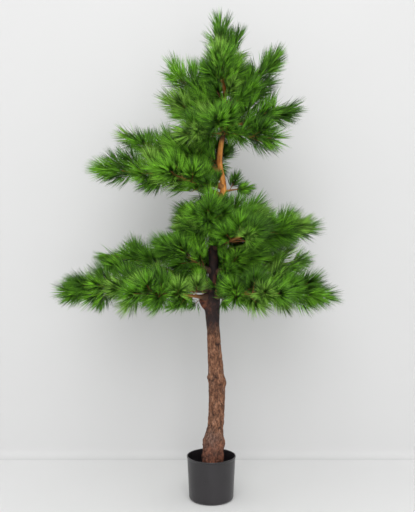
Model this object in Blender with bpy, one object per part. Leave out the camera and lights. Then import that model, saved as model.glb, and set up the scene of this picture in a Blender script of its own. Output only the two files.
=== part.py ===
"""An artificial pine, trained in tiers, in a black pot, about 1.8 m tall.

Metres, +Z up. The origin is the centre of the pot's underside, on the floor. +X is to the right and -Y is
towards the viewer. Every limb leaves the trunk at a height and an azimuth, and ends in one mass of needle
brushes, which keeps to a space of its own between flat boundaries with its neighbours.
"""

from collections import namedtuple
from functools import lru_cache
from math import cos, pi, radians, sin, sqrt

import bmesh
import bpy
import numpy as np

GAP = 0.0003  # between any two solids that meet

# The pot: a plain tapered bucket with a thin lip and a rounded foot
POT_HEIGHT = 0.160
POT_RIM_RADIUS = 0.0905
POT_BASE_RADIUS = 0.0815
POT_WALL = 0.0028
POT_FLOOR = 0.0040
POT_FOOT_ROUND = 0.0110
POT_LIP_WIDTH = 0.0012
POT_LIP_DEPTH = 0.0050
POT_SIDES = 32
FOOT_STEPS = 4

# The ballast in the pot, which the trunk stands on
BALLAST_TOP = 0.110
BALLAST_SIDES = 24

# The trunk's axis and radius at heights: (height, x, y, radius)
TRUNK_STATIONS = (
    (0.110, 0.000, 0.000, 0.0385),
    (0.205, 0.009, 0.002, 0.0380),
    (0.270, 0.016, 0.005, 0.0300),
    (0.380, 0.021, 0.008, 0.0308),
    (0.500, 0.015, 0.009, 0.0272),
    (0.650, 0.006, 0.004, 0.0245),
    (0.712, 0.003, 0.001, 0.0285),
    (0.742, 0.001, 0.000, 0.0315),
    (0.776, 0.004, 0.000, 0.0212),
    (0.850, 0.008, -0.003, 0.0175),
    (0.950, 0.007, -0.005, 0.0170),
    (1.040, 0.018, 0.000, 0.0150),
    (1.140, 0.044, 0.006, 0.0120),
    (1.250, 0.030, 0.005, 0.0098),
    (1.310, 0.036, 0.002, 0.0094),
    (1.380, 0.049, 0.000, 0.0074),
    (1.500, 0.049, 0.002, 0.0052),
    (1.600, 0.041, 0.003, 0.0040),
)
TRUNK_SIDES = 12
TRUNK_LEFT_BY = 0.090  # a limb's line is out of the trunk by this distance from its axis
TRUNK_RING_STEP = 0.040

# Knots that stand out of the trunk: (height, azimuth, how far out, half height)
KNOTS = (
    (0.207, 350, 0.0050, 0.016),
    (0.215, 185, 0.0040, 0.018),
    (0.432, 2, 0.0065, 0.017),
    (0.446, 178, 0.0050, 0.014),
    (0.330, 75, 0.0045, 0.020),
    (0.575, 110, 0.0035, 0.018),
    (0.736, 178, 0.0070, 0.024),
    (0.728, 60, 0.0050, 0.022),
)
KNOT_HALF_ANGLE = 34

# A limb: the height and azimuth where it leaves the trunk, its length to the last needle tips, its slopes
# at the two ends, its mass's width and thickness, the mass's brushes, and the share of it that is bare bough.
# Angles are in degrees; azimuth 0 is to the right, 90 to the back, 180 to the left, 270 to the viewer.
Limb = namedtuple("Limb", "name height azimuth length leave arrive width thick brushes bare")
LIMBS = (
    Limb("lower_left", 0.770, 181, 0.590, 3, -4, 0.24, 0.19, 10, 0.30),
    Limb("lower_left_front", 0.744, 226, 0.450, 8, 2, 0.24, 0.17, 8, 0.20),
    Limb("lower_left_back", 0.790, 154, 0.545, 17, 8, 0.25, 0.18, 8, 0.30),
    Limb("lower_left_inner", 0.835, 195, 0.280, 34, 20, 0.20, 0.17, 5, 0.16),
    Limb("lower_right", 0.770, 358, 0.478, 6, -14, 0.24, 0.18, 9, 0.28),
    Limb("lower_right_front", 0.748, 311, 0.410, 8, 2, 0.24, 0.16, 7, 0.20),
    Limb("lower_right_back", 0.795, 36, 0.505, 15, 4, 0.25, 0.18, 8, 0.28),
    Limb("lower_right_inner", 0.830, 338, 0.250, 32, 20, 0.18, 0.16, 5, 0.16),
    Limb("lower_back", 0.812, 92, 0.460, 10, 8, 0.26, 0.18, 7, 0.26),
    Limb("middle_right", 0.945, 2, 0.415, 12, 4, 0.25, 0.15, 9, 0.22),
    Limb("middle_right_front", 0.925, 305, 0.310, 18, 10, 0.22, 0.16, 7, 0.20),
    Limb("middle_right_inner", 1.012, 346, 0.235, 13, 8, 0.19, 0.15, 5, 0.14),
    Limb("middle_right_back", 0.980, 40, 0.440, 2, -4, 0.24, 0.17, 7, 0.24),
    Limb("middle_left", 0.985, 192, 0.170, 16, 10, 0.20, 0.16, 4, 0.16),
    Limb("middle_front", 1.005, 262, 0.230, 22, 20, 0.20, 0.16, 4, 0.16),
    Limb("middle_back", 1.018, 112, 0.370, 10, 8, 0.25, 0.18, 6, 0.20),
    Limb("upper_left", 1.152, 181, 0.510, 12, 3, 0.24, 0.15, 9, 0.26),
    Limb("upper_left_front", 1.116, 218, 0.350, 22, 10, 0.22, 0.14, 6, 0.22),
    Limb("upper_left_back", 1.185, 160, 0.485, 26, 20, 0.24, 0.16, 7, 0.24),
    Limb("upper_left_inner", 1.205, 190, 0.260, 28, 30, 0.18, 0.15, 4, 0.14),
    Limb("upper_back", 1.240, 112, 0.260, 10, 14, 0.20, 0.16, 4, 0.14),
    Limb("upper_right", 1.135, 10, 0.125, 8, 10, 0.10, 0.08, 2, 0.00),
    Limb("crown_right", 1.365, 358, 0.310, 14, 18, 0.20, 0.15, 7, 0.00),
    Limb("crown_left", 1.370, 184, 0.275, 18, 36, 0.20, 0.15, 6, 0.00),
    Limb("crown_front", 1.350, 264, 0.220, 8, 14, 0.19, 0.15, 5, 0.00),
    Limb("crown_right_front", 1.345, 332, 0.270, -8, -10, 0.18, 0.14, 5, 0.00),
    Limb("crown_left_front", 1.345, 220, 0.240, -4, -4, 0.18, 0.14, 5, 0.00),
    Limb("crown_back", 1.385, 96, 0.260, 10, 15, 0.22, 0.15, 6, 0.00),
    Limb("crown_upper_left", 1.425, 176, 0.315, 20, 74, 0.18, 0.16, 6, 0.00),
    Limb("crown_upper_right", 1.430, 4, 0.322, 34, 68, 0.18, 0.15, 6, 0.00),
    Limb("crown_upper_front", 1.480, 258, 0.235, 42, 68, 0.17, 0.14, 5, 0.00),
    Limb("crown_upper_back", 1.490, 98, 0.200, 40, 60, 0.17, 0.14, 4, 0.00),
    Limb("crown_side", 1.580, 4, 0.180, 56, 80, 0.09, 0.09, 2, 0.00),
    Limb("crown_top", 1.600, 180, 0.196, 86, 84, 0.10, 0.10, 4, 0.00),
)
LEADER = "crown_top"  # grows on from the trunk's tip

# Boughs and the stems that carry on inside the masses
BOUGH_ROOT_RADIUS = 0.0095
BOUGH_TIP_RADIUS = 0.0050
STEM_TIP_RADIUS = 0.0024
CROWN_STEM_RADIUS = 0.0036
BOUGH_SIDES = 5
BOUGH_STEPS = 4
STEM_SIDES = 4
STEM_STEPS = 4
AXIS_STEPS = 40
SWAY = 0.08  # how far a limb's line swings from its azimuth, one way at its foot and the other at its tip

# A shoot: a three-sided twig whose end is a brush of needles
TWIG_RADIUS = 0.0022
BRUSH_LENGTH = 0.048
BRUSH_RADII = (0.0024, 0.0060, 0.0046)  # the core, from the twig to the end
NEEDLE_LENGTH = 0.084
NEEDLE_SPLAY = (50, 28)  # from the shoot's line, band by band
NEEDLE_SHORTEST = 0.55  # a needle that must be shorter than this share of its length is skipped
NEEDLE_ROOM = 0.0050  # between the middle lines of two needles
CORE_ROOM = 0.0070  # between a needle and the middle line of another shoot or of the stem
END_TWIG = 0.012  # from a limb's line to its last brush, and the shortest twig
ROOTS_FROM, ROOTS_TO = 0.08, 0.88  # the stretch of the stem that twigs leave
LEVELS_FROM, LEVELS_TO = -0.80, 0.75  # where brushes end, from the mass's near end at -1 to its far end at 1
SHOOT_LIFT, SHOOT_SWEEP = 0.30, 0.25  # how far brushes turn upward and along the limb
TWIG_BOW = 0.10
FULL_BRUSH_LIMB = 0.21  # a limb shorter than this has smaller brushes
GOLDEN_ANGLE = pi * (3 - sqrt(5))
SEED = 7

UP = np.array((0.0, 0.0, 1.0))

COLOURS = {  # base colour, roughness
    "pot_plastic": ((0.045, 0.042, 0.046), 0.45),
    "ballast": ((0.018, 0.017, 0.018), 0.95),
    "bark": ((0.200, 0.100, 0.055), 0.90),
    "stem_bark": ((0.330, 0.130, 0.035), 0.80),
    "needles": ((0.055, 0.200, 0.022), 0.60),
}


def material(name):
    colour, roughness = COLOURS[name]
    made = bpy.data.materials.get(name) or bpy.data.materials.new(name)
    made.use_nodes = True
    shader = made.node_tree.nodes["Principled BSDF"]
    shader.inputs["Base Color"].default_value = (*colour, 1.0)
    shader.inputs["Roughness"].default_value = roughness
    shader.inputs["Metallic"].default_value = 0.0
    return made


def unit(vector):
    vector = np.asarray(vector, float)
    return vector / np.linalg.norm(vector)


def add_object(name, bm, material_name, smooth_angle=None):
    """Turns a bmesh into a named object; smooth_angle is the sharpest edge that is shaded smooth."""
    bmesh.ops.recalc_face_normals(bm, faces=bm.faces)
    mesh = bpy.data.meshes.new(name)
    bm.to_mesh(mesh)
    bm.free()
    mesh.materials.append(material(material_name))
    if smooth_angle:
        mesh.shade_smooth()
        mesh.set_sharp_from_angle(angle=smooth_angle)
    made = bpy.data.objects.new(name, mesh)
    bpy.context.scene.collection.objects.link(made)
    return made


def across(direction):
    """Two unit vectors square to a direction: the first level, the second as near to up as it can be."""
    side = np.cross(direction, UP)
    if np.linalg.norm(side) < 0.05:
        side = np.array((1.0, 0.0, 0.0))
    side = unit(side - np.dot(side, direction) * direction)
    return side, np.cross(side, direction)


def ring(centre, direction, radius, sides, turn=0.0):
    """Points of a regular polygon round a centre, square to a direction."""
    side, upper = across(direction)
    angles = turn + 2 * pi * np.arange(sides) / sides
    return centre + radius * (np.outer(np.cos(angles), side) + np.outer(np.sin(angles), upper))


def add_ring(bm, points):
    return [bm.verts.new(p) for p in points]


def add_band(bm, low, high):
    """Quads between two rings that have as many points."""
    for i in range(len(low)):
        j = (i + 1) % len(low)
        bm.faces.new((low[i], low[j], high[j], high[i]))


def loft(bm, rings, seat=None):
    """A closed tube through rings of points; seat is the middle of the first ring's end, if it isn't flat."""
    rows = [add_ring(bm, points) for points in rings]
    for low, high in zip(rows, rows[1:]):
        add_band(bm, low, high)
    if seat is None:
        bm.faces.new(rows[0])
    else:
        middle = bm.verts.new(seat)
        for i in range(len(rows[0])):
            bm.faces.new((rows[0][i], rows[0][(i + 1) % len(rows[0])], middle))
    bm.faces.new(rows[-1])


# The trunk


def trunk_at(height):
    """The trunk's axis point and radius at a height, on a smooth curve through the stations."""
    stations = np.array(TRUNK_STATIONS)
    heights = stations[:, 0]
    slopes = np.gradient(stations[:, 1:], heights, axis=0)
    i = int(np.clip(np.searchsorted(heights, height) - 1, 0, len(heights) - 2))
    span = heights[i + 1] - heights[i]
    t = (height - heights[i]) / span
    weights = (2 * t**3 - 3 * t**2 + 1, (t**3 - 2 * t**2 + t) * span,
               3 * t**2 - 2 * t**3, (t**3 - t**2) * span)
    x, y, radius = (weights[0] * stations[i, 1:] + weights[1] * slopes[i]
                    + weights[2] * stations[i + 1, 1:] + weights[3] * slopes[i + 1])
    return np.array((x, y, height)), radius


def knot_bulge(height, azimuth):
    """How far the knots push the trunk's surface out at a height and azimuth."""
    out = 0.0
    for knot_height, knot_azimuth, rise, half_height in KNOTS:
        turn = (np.degrees(azimuth) - knot_azimuth + 180) % 360 - 180
        out += rise * np.exp(-((height - knot_height) / half_height) ** 2 - (turn / KNOT_HALF_ANGLE) ** 2)
    return out


def trunk_ring(height):
    centre, radius = trunk_at(height)
    angles = 2 * pi * np.arange(TRUNK_SIDES) / TRUNK_SIDES
    radii = radius + np.array([knot_bulge(height, a) for a in angles])
    return centre + np.stack((radii * np.cos(angles), radii * np.sin(angles), 0 * radii), axis=1)


def trunk_heights():
    """Even steps up the trunk, with the stations and the knots' middles among them."""
    bottom, top = BALLAST_TOP + GAP, TRUNK_STATIONS[-1][0]
    wanted = [s[0] for s in TRUNK_STATIONS[1:-1]] + [k[0] for k in KNOTS]
    even = np.linspace(bottom, top, int((top - bottom) / TRUNK_RING_STEP))
    kept = [h for h in even if min(abs(h - w) for w in wanted) > TRUNK_RING_STEP / 2]
    merged = [bottom, top]
    for h in sorted(wanted) + kept:
        if min(abs(h - m) for m in merged) > TRUNK_RING_STEP / 4:
            merged.append(h)
    return sorted(merged)


TRUNK_HEIGHTS = trunk_heights()
TRUNK_AXIS = [trunk_at(h) for h in TRUNK_HEIGHTS]


def build_trunk():
    bm = bmesh.new()
    loft(bm, [trunk_ring(h) for h in TRUNK_HEIGHTS])
    return add_object("trunk", bm, "bark", radians(50))


def in_trunk(point):
    """Whether a point is inside the trunk's solid, or nearer to its side than the gap."""
    i = int(np.clip(np.searchsorted(TRUNK_HEIGHTS, point[2]) - 1, 0, len(TRUNK_HEIGHTS) - 2))
    share = np.clip((point[2] - TRUNK_HEIGHTS[i]) / (TRUNK_HEIGHTS[i + 1] - TRUNK_HEIGHTS[i]), 0, 1)
    (low, low_radius), (high, high_radius) = TRUNK_AXIS[i], TRUNK_AXIS[i + 1]
    flat = (point - low - (high - low) * share)[:2]
    azimuth = np.arctan2(flat[1], flat[0])
    low_radius = low_radius + knot_bulge(TRUNK_HEIGHTS[i], azimuth)
    high_radius = high_radius + knot_bulge(TRUNK_HEIGHTS[i + 1], azimuth)
    return np.hypot(*flat) < low_radius + (high_radius - low_radius) * share + GAP


def trunk_surface(start, direction, back=0.0):
    """How far along a line the trunk is left for good. The start may lie outside it, up to back behind."""
    step = 0.001
    outside = TRUNK_LEFT_BY
    while outside > back and not in_trunk(start + (outside - step) * direction):
        outside -= step
    if outside <= back:
        return 0.0
    inside = outside - step
    for _ in range(12):
        middle = (inside + outside) / 2
        if in_trunk(start + middle * direction):
            inside = middle
        else:
            outside = middle
    return outside


# The limbs' lines


@lru_cache(maxsize=None)
def limb_axis(limb):
    """Points along a limb, from the trunk's axis to the last needle tips, and its directions there."""
    t = np.linspace(0, 1, AXIS_STEPS + 1)
    slope = np.radians(limb.leave + (limb.arrive - limb.leave) * t)
    bend = SWAY if limb.azimuth % 2 else -SWAY
    azimuth = radians(limb.azimuth) + bend * np.cos(pi * t)
    level = np.stack((np.cos(azimuth), np.sin(azimuth), 0 * azimuth), axis=1)
    steps = np.cos(slope)[:, None] * level + np.sin(slope)[:, None] * UP
    walked = np.cumsum((steps[1:] + steps[:-1]) / 2, axis=0) * limb.length / AXIS_STEPS
    return trunk_at(limb.height)[0] + np.vstack((np.zeros(3), walked)), steps


def along(limb, distance):
    """The point and direction at a distance along a limb."""
    points, steps = limb_axis(limb)
    where = np.linspace(0, limb.length, AXIS_STEPS + 1)
    point = np.array([np.interp(distance, where, points[:, k]) for k in range(3)])
    return point, unit([np.interp(distance, where, steps[:, k]) for k in range(3)])


@lru_cache(maxsize=None)
def root_distance(limb):
    """Where a limb comes out of the trunk, or starts on its tip."""
    if limb.name == LEADER:
        return GAP
    start, direction = along(limb, 0.0)
    return trunk_surface(start, direction)


def bough_end(limb):
    return limb.length * limb.bare


def stem_start(limb):
    return bough_end(limb) + GAP if limb.bare else root_distance(limb)


def brush_scale(limb):
    """A short limb carries smaller brushes."""
    return min(1.0, limb.length / FULL_BRUSH_LIMB)


def brush_reach(limb):
    """From the start of a brush to the tips of its foremost needles."""
    return brush_scale(limb) * (NEEDLE_LENGTH * cos(radians(NEEDLE_SPLAY[-1])) + BRUSH_LENGTH)


def stem_end(limb):
    """The stem ends where the end brush starts."""
    return limb.length - brush_reach(limb)


def seat_on_trunk(limb, points):
    """A limb's foot, shaped to the trunk: each point of its ring slid along the limb until it is just clear,
    then all moved out together until the flat faces between them are clear too. Ends with the middle."""
    start, direction = along(limb, root_distance(limb))
    foot = np.array([p + trunk_surface(p, direction, -TRUNK_LEFT_BY) * direction for p in [*points, start]])
    ends = np.vstack((np.roll(foot[:-1], 1, axis=0), np.tile(foot[-1], (len(points), 1))))
    starts = np.vstack((foot[:-1], foot[:-1]))
    between = np.vstack([starts + (ends - starts) * share for share in (0.25, 0.5, 0.75)])
    out = 0.0
    while any(in_trunk(p + out * direction) for p in between):
        out += GAP / 2
    return foot + out * direction


def limb_rings(limb, start, end, radii, sides, steps):
    """Rings along a limb between two distances, with the radii at those two."""
    rings = []
    for share in np.linspace(0, 1, steps + 1):
        point, direction = along(limb, start + (end - start) * share)
        rings.append(ring(point, direction, radii[0] + (radii[1] - radii[0]) * share, sides))
    return rings


def bough_radii(limb):
    """At its root, where a longer bough is thicker, and at its tip."""
    return BOUGH_ROOT_RADIUS * (0.75 + 0.5 * limb.length), BOUGH_TIP_RADIUS


def build_bough(limb):
    start, end = root_distance(limb), bough_end(limb)
    rings = limb_rings(limb, start, end, bough_radii(limb), BOUGH_SIDES, BOUGH_STEPS)
    *rings[0], seat = seat_on_trunk(limb, rings[0])
    bm = bmesh.new()
    loft(bm, rings, seat)
    return add_object(limb.name + "_bough", bm, "stem_bark", radians(70))


# Spaces and clearances


@lru_cache(maxsize=None)
def mass_frame(limb):
    """A mass's middle, its three half sizes and the three directions that they lie along."""
    start, end = stem_start(limb), limb.length
    middle, direction = along(limb, (start + end) / 2)
    side, upper = across(direction)
    halves = np.array(((end - start) / 2, limb.width / 2, limb.thick / 2))
    return middle, halves, np.array((direction, side, upper))


def boundaries(limb):
    """The flat boundaries with every other mass: normals, and how far along each the space goes.

    Each lies between the two middles, shared out by how far the masses reach towards each other."""
    middle, halves, axes = mass_frame(limb)
    normals, limits = [], []
    for other in LIMBS:
        if other is limb:
            continue
        their_middle, their_halves, their_axes = mass_frame(other)
        normal = unit(their_middle - middle)
        ours = np.linalg.norm(halves * (axes @ normal))
        theirs = np.linalg.norm(their_halves * (their_axes @ normal))
        distance = np.linalg.norm(their_middle - middle)
        normals.append(normal)
        limits.append(normal @ middle + distance * ours / (ours + theirs) - GAP)
    return np.array(normals), np.array(limits)


def in_space(points, space):
    normals, limits = space
    return (np.atleast_2d(points) @ normals.T < limits).all(axis=1)


def gap_between(a, b, c, d):
    """Least distance between the lines a-b and c-d, as arrays that broadcast."""
    u, v, w = b - a, d - c, a - c
    uu, uv, vv = (u * u).sum(-1), (u * v).sum(-1), (v * v).sum(-1)
    uw, vw = (u * w).sum(-1), (v * w).sum(-1)
    square = uu * vv - uv**2
    s = np.clip((uv * vw - vv * uw) / np.maximum(square, 1e-15), 0, 1)
    t = np.clip((uv * s + vw) / vv, 0, 1)
    s = np.clip((uv * t - uw) / uu, 0, 1)
    return np.linalg.norm(w + s[..., None] * u - t[..., None] * v, axis=-1)


def as_lines(found):
    """Thick lines from a list of (start, end, radius), as three arrays."""
    starts, ends, radii = zip(*found) if found else ([], [], [])
    return np.reshape(starts, (-1, 3)), np.reshape(ends, (-1, 3)), np.array(radii)


def joined_lines(several):
    return tuple(np.concatenate(parts) for parts in zip(*several))


def limb_lines():
    """The trunk and every bough as thick lines."""
    found = []
    for i, (low, high) in enumerate(zip(TRUNK_HEIGHTS, TRUNK_HEIGHTS[1:])):
        (a, r), (b, s) = TRUNK_AXIS[i], TRUNK_AXIS[i + 1]
        bulge = max(knot_bulge(h, radians(k)) for h in (low, high) for k in range(0, 360, 30))
        found.append((a, b, max(r, s) + bulge))
    for limb in LIMBS:
        if not limb.bare:
            continue
        cuts = np.linspace(0, bough_end(limb), 2 * BOUGH_STEPS + 1)
        for low, high in zip(cuts, cuts[1:]):
            radius = np.interp(low, (0, bough_end(limb)), bough_radii(limb))
            found.append((along(limb, low)[0], along(limb, high)[0], radius))
    return as_lines(found)


def clear_of(lines, starts, ends, clearance):
    """Whether each line from starts to ends keeps clear of every thick line."""
    a, b, radii = lines
    gaps = gap_between(starts[:, None], ends[:, None], a[None], b[None])
    return (gaps > radii + clearance).all(axis=1)


# A mass's shoots, by a seeded rule


def shoots_of(limb, rng):
    """Where the shoots of a mass grow, as (root on the stem, start of the brush, direction of the brush).

    They leave the stem in turn at the golden angle and end on the mass's outline, an ellipsoid."""
    middle, halves, axes = mass_frame(limb)
    start, end = stem_start(limb), stem_end(limb)
    tip, tip_direction = along(limb, end)
    found = [(along(limb, end - END_TWIG)[0], tip, tip_direction)]
    reach = brush_reach(limb)
    turn = rng.uniform(0, 2 * pi)
    for k in range(limb.brushes):
        share = (k + 0.5) / limb.brushes
        turn += GOLDEN_ANGLE
        root, direction = along(limb, start + (end - start) * (ROOTS_FROM + (ROOTS_TO - ROOTS_FROM) * share))
        level = LEVELS_FROM + (LEVELS_TO - LEVELS_FROM) * share + rng.uniform(-0.06, 0.06)
        girth = sqrt(max(0.0, 1 - level**2))
        target = middle + (halves * (level, girth * cos(turn), girth * sin(turn))) @ axes
        aim = unit(unit(target - root) + SHOOT_LIFT * UP + SHOOT_SWEEP * direction)
        twig_end = target - reach * aim
        if np.dot(twig_end - root, aim) < END_TWIG:
            twig_end = root + END_TWIG * aim
        found.append((root, twig_end, aim))
    return found


def shoot_rings(root, twig_end, aim, scale):
    """The rings of a shoot: two of twig, then its core's, each turned by half a side."""
    toward = unit(twig_end - root)
    bend = root + 0.55 * (twig_end - root) - TWIG_BOW * np.linalg.norm(twig_end - root) * (aim - toward)
    rings = [ring(root, toward, TWIG_RADIUS, 3), ring(bend, unit(twig_end - root), TWIG_RADIUS, 3)]
    bands = len(BRUSH_RADII) - 1
    for i, radius in enumerate(BRUSH_RADII):
        centre = twig_end + aim * scale * BRUSH_LENGTH * i / bands
        rings.append(ring(centre, aim, radius * (0.5 + scale / 2), 3, turn=i * pi / 3))
    return rings


def needle_tip(corners, core_start, aim, splay, length):
    """The tip of a needle drawn out of a core face: outward and forward by the splay angle."""
    foot = np.mean(corners, axis=0)
    outward = foot - core_start
    outward = unit(outward - np.dot(outward, aim) * aim)
    return foot + length * (sin(splay) * outward + cos(splay) * aim)


def allowed_tip(corners, tip, space, lines, own):
    """The needle's tip, drawn back if the space or a limb asks for it, or None where it's skipped."""
    foot = np.mean(corners, axis=0)
    for share in (1.0, 0.85, 0.7, NEEDLE_SHORTEST):
        end = foot + (tip - foot) * share
        if not in_space(end, space)[0]:
            continue
        if not clear_of(lines, np.array(corners), np.array([end] * 3), 3 * GAP).all():
            continue
        if clear_of(own, foot[None], end[None], 0.0)[0]:
            return end
    return None


def shoot_passes(rings, space, lines):
    """Whether a shoot's twig and core keep to the space and clear of the limbs."""
    centres = np.array([points.mean(axis=0) for points in rings])
    half_way = (centres[:1] + centres[1:2]) / 2
    return (
        in_space(np.vstack(rings), space).all()
        and clear_of(lines, centres[1:-1], centres[2:], max(BRUSH_RADII) + GAP).all()
        and clear_of(lines, half_way, centres[1:2], TWIG_RADIUS + GAP).all()
    )


def shoot_lines(rings):
    """A shoot's middle line as thick lines that other shoots' needles keep clear of."""
    centres = np.array([points.mean(axis=0) for points in rings])
    return as_lines([(a, b, CORE_ROOM) for a, b in zip(centres, centres[1:])])


def core_faces(rows):
    """The triangles that needles are drawn out of, with each one's splay; the last is the core's end."""
    for splay, low, high in zip(NEEDLE_SPLAY, rows[2:], rows[3:]):
        for i in range(3):
            j = (i + 1) % 3
            yield (low[i], low[j], high[i]), radians(splay)
            yield (low[j], high[j], high[i]), radians(splay)
    yield tuple(rows[-1]), 0.0


def build_shoot(name, rings, aim, length, space, lines, own):
    """One closed shoot. Returns its object and its needles as lines."""
    bm = bmesh.new()
    rows = [add_ring(bm, points) for points in rings]
    bm.faces.new(rows[0])
    add_band(bm, rows[0], rows[1])
    add_band(bm, rows[1], rows[2])
    core_start = rings[2].mean(axis=0)
    needles = []
    for corners, splay in core_faces(rows):
        places = [np.array(v.co) for v in corners]
        if splay:
            tip = needle_tip(places, core_start, aim, splay, length)
        else:
            tip = np.mean(places, axis=0) + length * aim
        end = allowed_tip(places, tip, space, lines, own)
        if end is None:
            bm.faces.new(corners)
            continue
        apex = bm.verts.new(end)
        for i in range(3):
            bm.faces.new((corners[i], corners[(i + 1) % 3], apex))
        needles.append((np.mean(places, axis=0), end, NEEDLE_ROOM))
    return add_object(name, bm, "needles"), as_lines(needles)


def build_stem(limb):
    radii = (BOUGH_TIP_RADIUS if limb.bare else CROWN_STEM_RADIUS, STEM_TIP_RADIUS)
    rings = limb_rings(limb, stem_start(limb), stem_end(limb), radii, STEM_SIDES, STEM_STEPS)
    seat = None
    if not limb.bare and limb.name != LEADER:
        *rings[0], seat = seat_on_trunk(limb, rings[0])
    bm = bmesh.new()
    loft(bm, rings, seat)
    centres = [np.mean(points, axis=0) for points in rings]
    stem_lines = as_lines([(a, b, CORE_ROOM) for a, b in zip(centres, centres[1:])])
    return add_object(limb.name + "_needles", bm, "needles"), stem_lines


def build_mass(limb, lines):
    """The stem and its shoots, joined into one solid. The needles grow when every shoot has its place."""
    rng = np.random.default_rng(SEED + LIMBS.index(limb))
    space = boundaries(limb)
    scale = brush_scale(limb)
    mass, stem_lines = build_stem(limb)
    kept = []
    for root, twig_end, aim in shoots_of(limb, rng):
        rings = shoot_rings(root, twig_end, aim, scale)
        if shoot_passes(rings, space, lines):
            kept.append((rings, aim, shoot_lines(rings)))
    shoots = bpy.data.collections.new(limb.name + "_shoots")
    grown = [stem_lines]
    for k, (rings, aim, _) in enumerate(kept):
        own = joined_lines(grown + [other[2] for other in kept if other[0] is not rings])
        shoot, needles = build_shoot(f"shoot_{k}", rings, aim, scale * NEEDLE_LENGTH, space, lines, own)
        bpy.context.scene.collection.objects.unlink(shoot)
        shoots.objects.link(shoot)
        grown.append(needles)
    print(limb.name, len(kept), "shoots,", sum(len(n[0]) for n in grown[1:]), "needles")
    join(mass, shoots)


def join(mass, pieces):
    """Joins a collection's objects to a mass with one Boolean union, applies it and removes them."""
    union = mass.modifiers.new("join", "BOOLEAN")
    union.operation = "UNION"
    union.operand_type = "COLLECTION"
    union.collection = pieces
    union.solver = "EXACT"
    bpy.context.view_layer.update()
    graph = bpy.context.evaluated_depsgraph_get()
    joined = bpy.data.meshes.new_from_object(mass.evaluated_get(graph))
    mass.modifiers.clear()
    mass.data = joined
    keep_outer_skin(joined)
    for piece in list(pieces.objects):
        bpy.data.objects.remove(piece)
    bpy.data.collections.remove(pieces)


def keep_outer_skin(mesh):
    """Leaves only the largest connected surface, which fills sealed hollows and drops loose scraps."""
    bm = bmesh.new()
    bm.from_mesh(mesh)
    left = set(bm.verts)
    largest = []
    while left:
        found, front = [], [left.pop()]
        while front:
            vert = front.pop()
            found.append(vert)
            for edge in vert.link_edges:
                other = edge.other_vert(vert)
                if other in left:
                    left.remove(other)
                    front.append(other)
        largest = max(largest, found, key=len)
    kept = set(largest)
    bmesh.ops.delete(bm, geom=[v for v in bm.verts if v not in kept], context="VERTS")
    bm.to_mesh(mesh)
    bm.free()


# The pot and its ballast


def turned(bm, profile, sides):
    """A closed solid turned round +Z from a profile of (radius, height) that starts and ends on the axis."""
    angles = 2 * pi * np.arange(sides) / sides
    rows = []
    for radius, height in profile:
        if radius == 0:
            rows.append([bm.verts.new((0, 0, height))])
        else:
            rows.append([bm.verts.new((radius * cos(a), radius * sin(a), height)) for a in angles])
    for low, high in zip(rows, rows[1:]):
        if len(low) == 1:
            for i in range(sides):
                bm.faces.new((low[0], high[(i + 1) % sides], high[i]))
        elif len(high) == 1:
            for i in range(sides):
                bm.faces.new((low[i], low[(i + 1) % sides], high[0]))
        else:
            add_band(bm, low, high)


def pot_radius(height):
    """The radius of the pot's outer wall at a height."""
    return POT_BASE_RADIUS + (POT_RIM_RADIUS - POT_LIP_WIDTH - POT_BASE_RADIUS) * height / POT_HEIGHT


def foot_arc(radius, round_radius, base):
    """The rounded foot between a flat underside and a wall, as points of a quarter circle."""
    turns = np.linspace(0, pi / 2, FOOT_STEPS + 1)
    return [(radius - round_radius * (1 - sin(t)), base + round_radius * (1 - cos(t))) for t in turns]


def build_pot():
    outer = foot_arc(pot_radius(POT_FOOT_ROUND), POT_FOOT_ROUND, 0.0)
    lip_base = POT_HEIGHT - POT_LIP_DEPTH
    inner_round = POT_FOOT_ROUND - POT_WALL
    inner = foot_arc(pot_radius(POT_FOOT_ROUND) - POT_WALL, inner_round, POT_FLOOR)
    profile = [(0, 0), *outer,
               (pot_radius(lip_base), lip_base),
               (POT_RIM_RADIUS, lip_base + POT_LIP_WIDTH),
               (POT_RIM_RADIUS, POT_HEIGHT - POT_LIP_WIDTH),
               (POT_RIM_RADIUS - POT_LIP_WIDTH, POT_HEIGHT),
               (pot_radius(POT_HEIGHT) - POT_WALL, POT_HEIGHT),
               *reversed(inner), (0, POT_FLOOR)]
    bm = bmesh.new()
    turned(bm, profile, POT_SIDES)
    return add_object("pot", bm, "pot_plastic", radians(40))


def build_ballast():
    """A plug that fills the pot to under the rim, just clear of its walls."""
    facet = cos(pi / POT_SIDES)
    radius_low = (pot_radius(POT_FOOT_ROUND) - POT_WALL) * facet - 2 * GAP
    radius_top = (pot_radius(BALLAST_TOP) - POT_WALL) * facet - 2 * GAP
    base = POT_FLOOR + GAP
    profile = [(0, base), (radius_low - POT_FOOT_ROUND + POT_WALL, base),
               (radius_low, POT_FLOOR + POT_FOOT_ROUND), (radius_top, BALLAST_TOP), (0, BALLAST_TOP)]
    bm = bmesh.new()
    turned(bm, profile, BALLAST_SIDES)
    return add_object("ballast", bm, "ballast", radians(40))


def main():
    for old in list(bpy.data.objects):
        bpy.data.objects.remove(old)
    build_pot()
    build_ballast()
    build_trunk()
    lines = limb_lines()
    for limb in LIMBS:
        if limb.bare:
            build_bough(limb)
        build_mass(limb, lines)


main()
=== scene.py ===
# %% [markdown]
# # An artificial pine in a black pot
#
# The real thing is a decoration for a room, 1.8 m tall. A rough wooden log stands in a nursery pot that is
# cast full of dark cement. A wired stem grows out of the log's top, and bent arms carry flat tiers of green
# plastic needle brushes. The solids from part.py are the frame, and this script dresses them.

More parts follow.
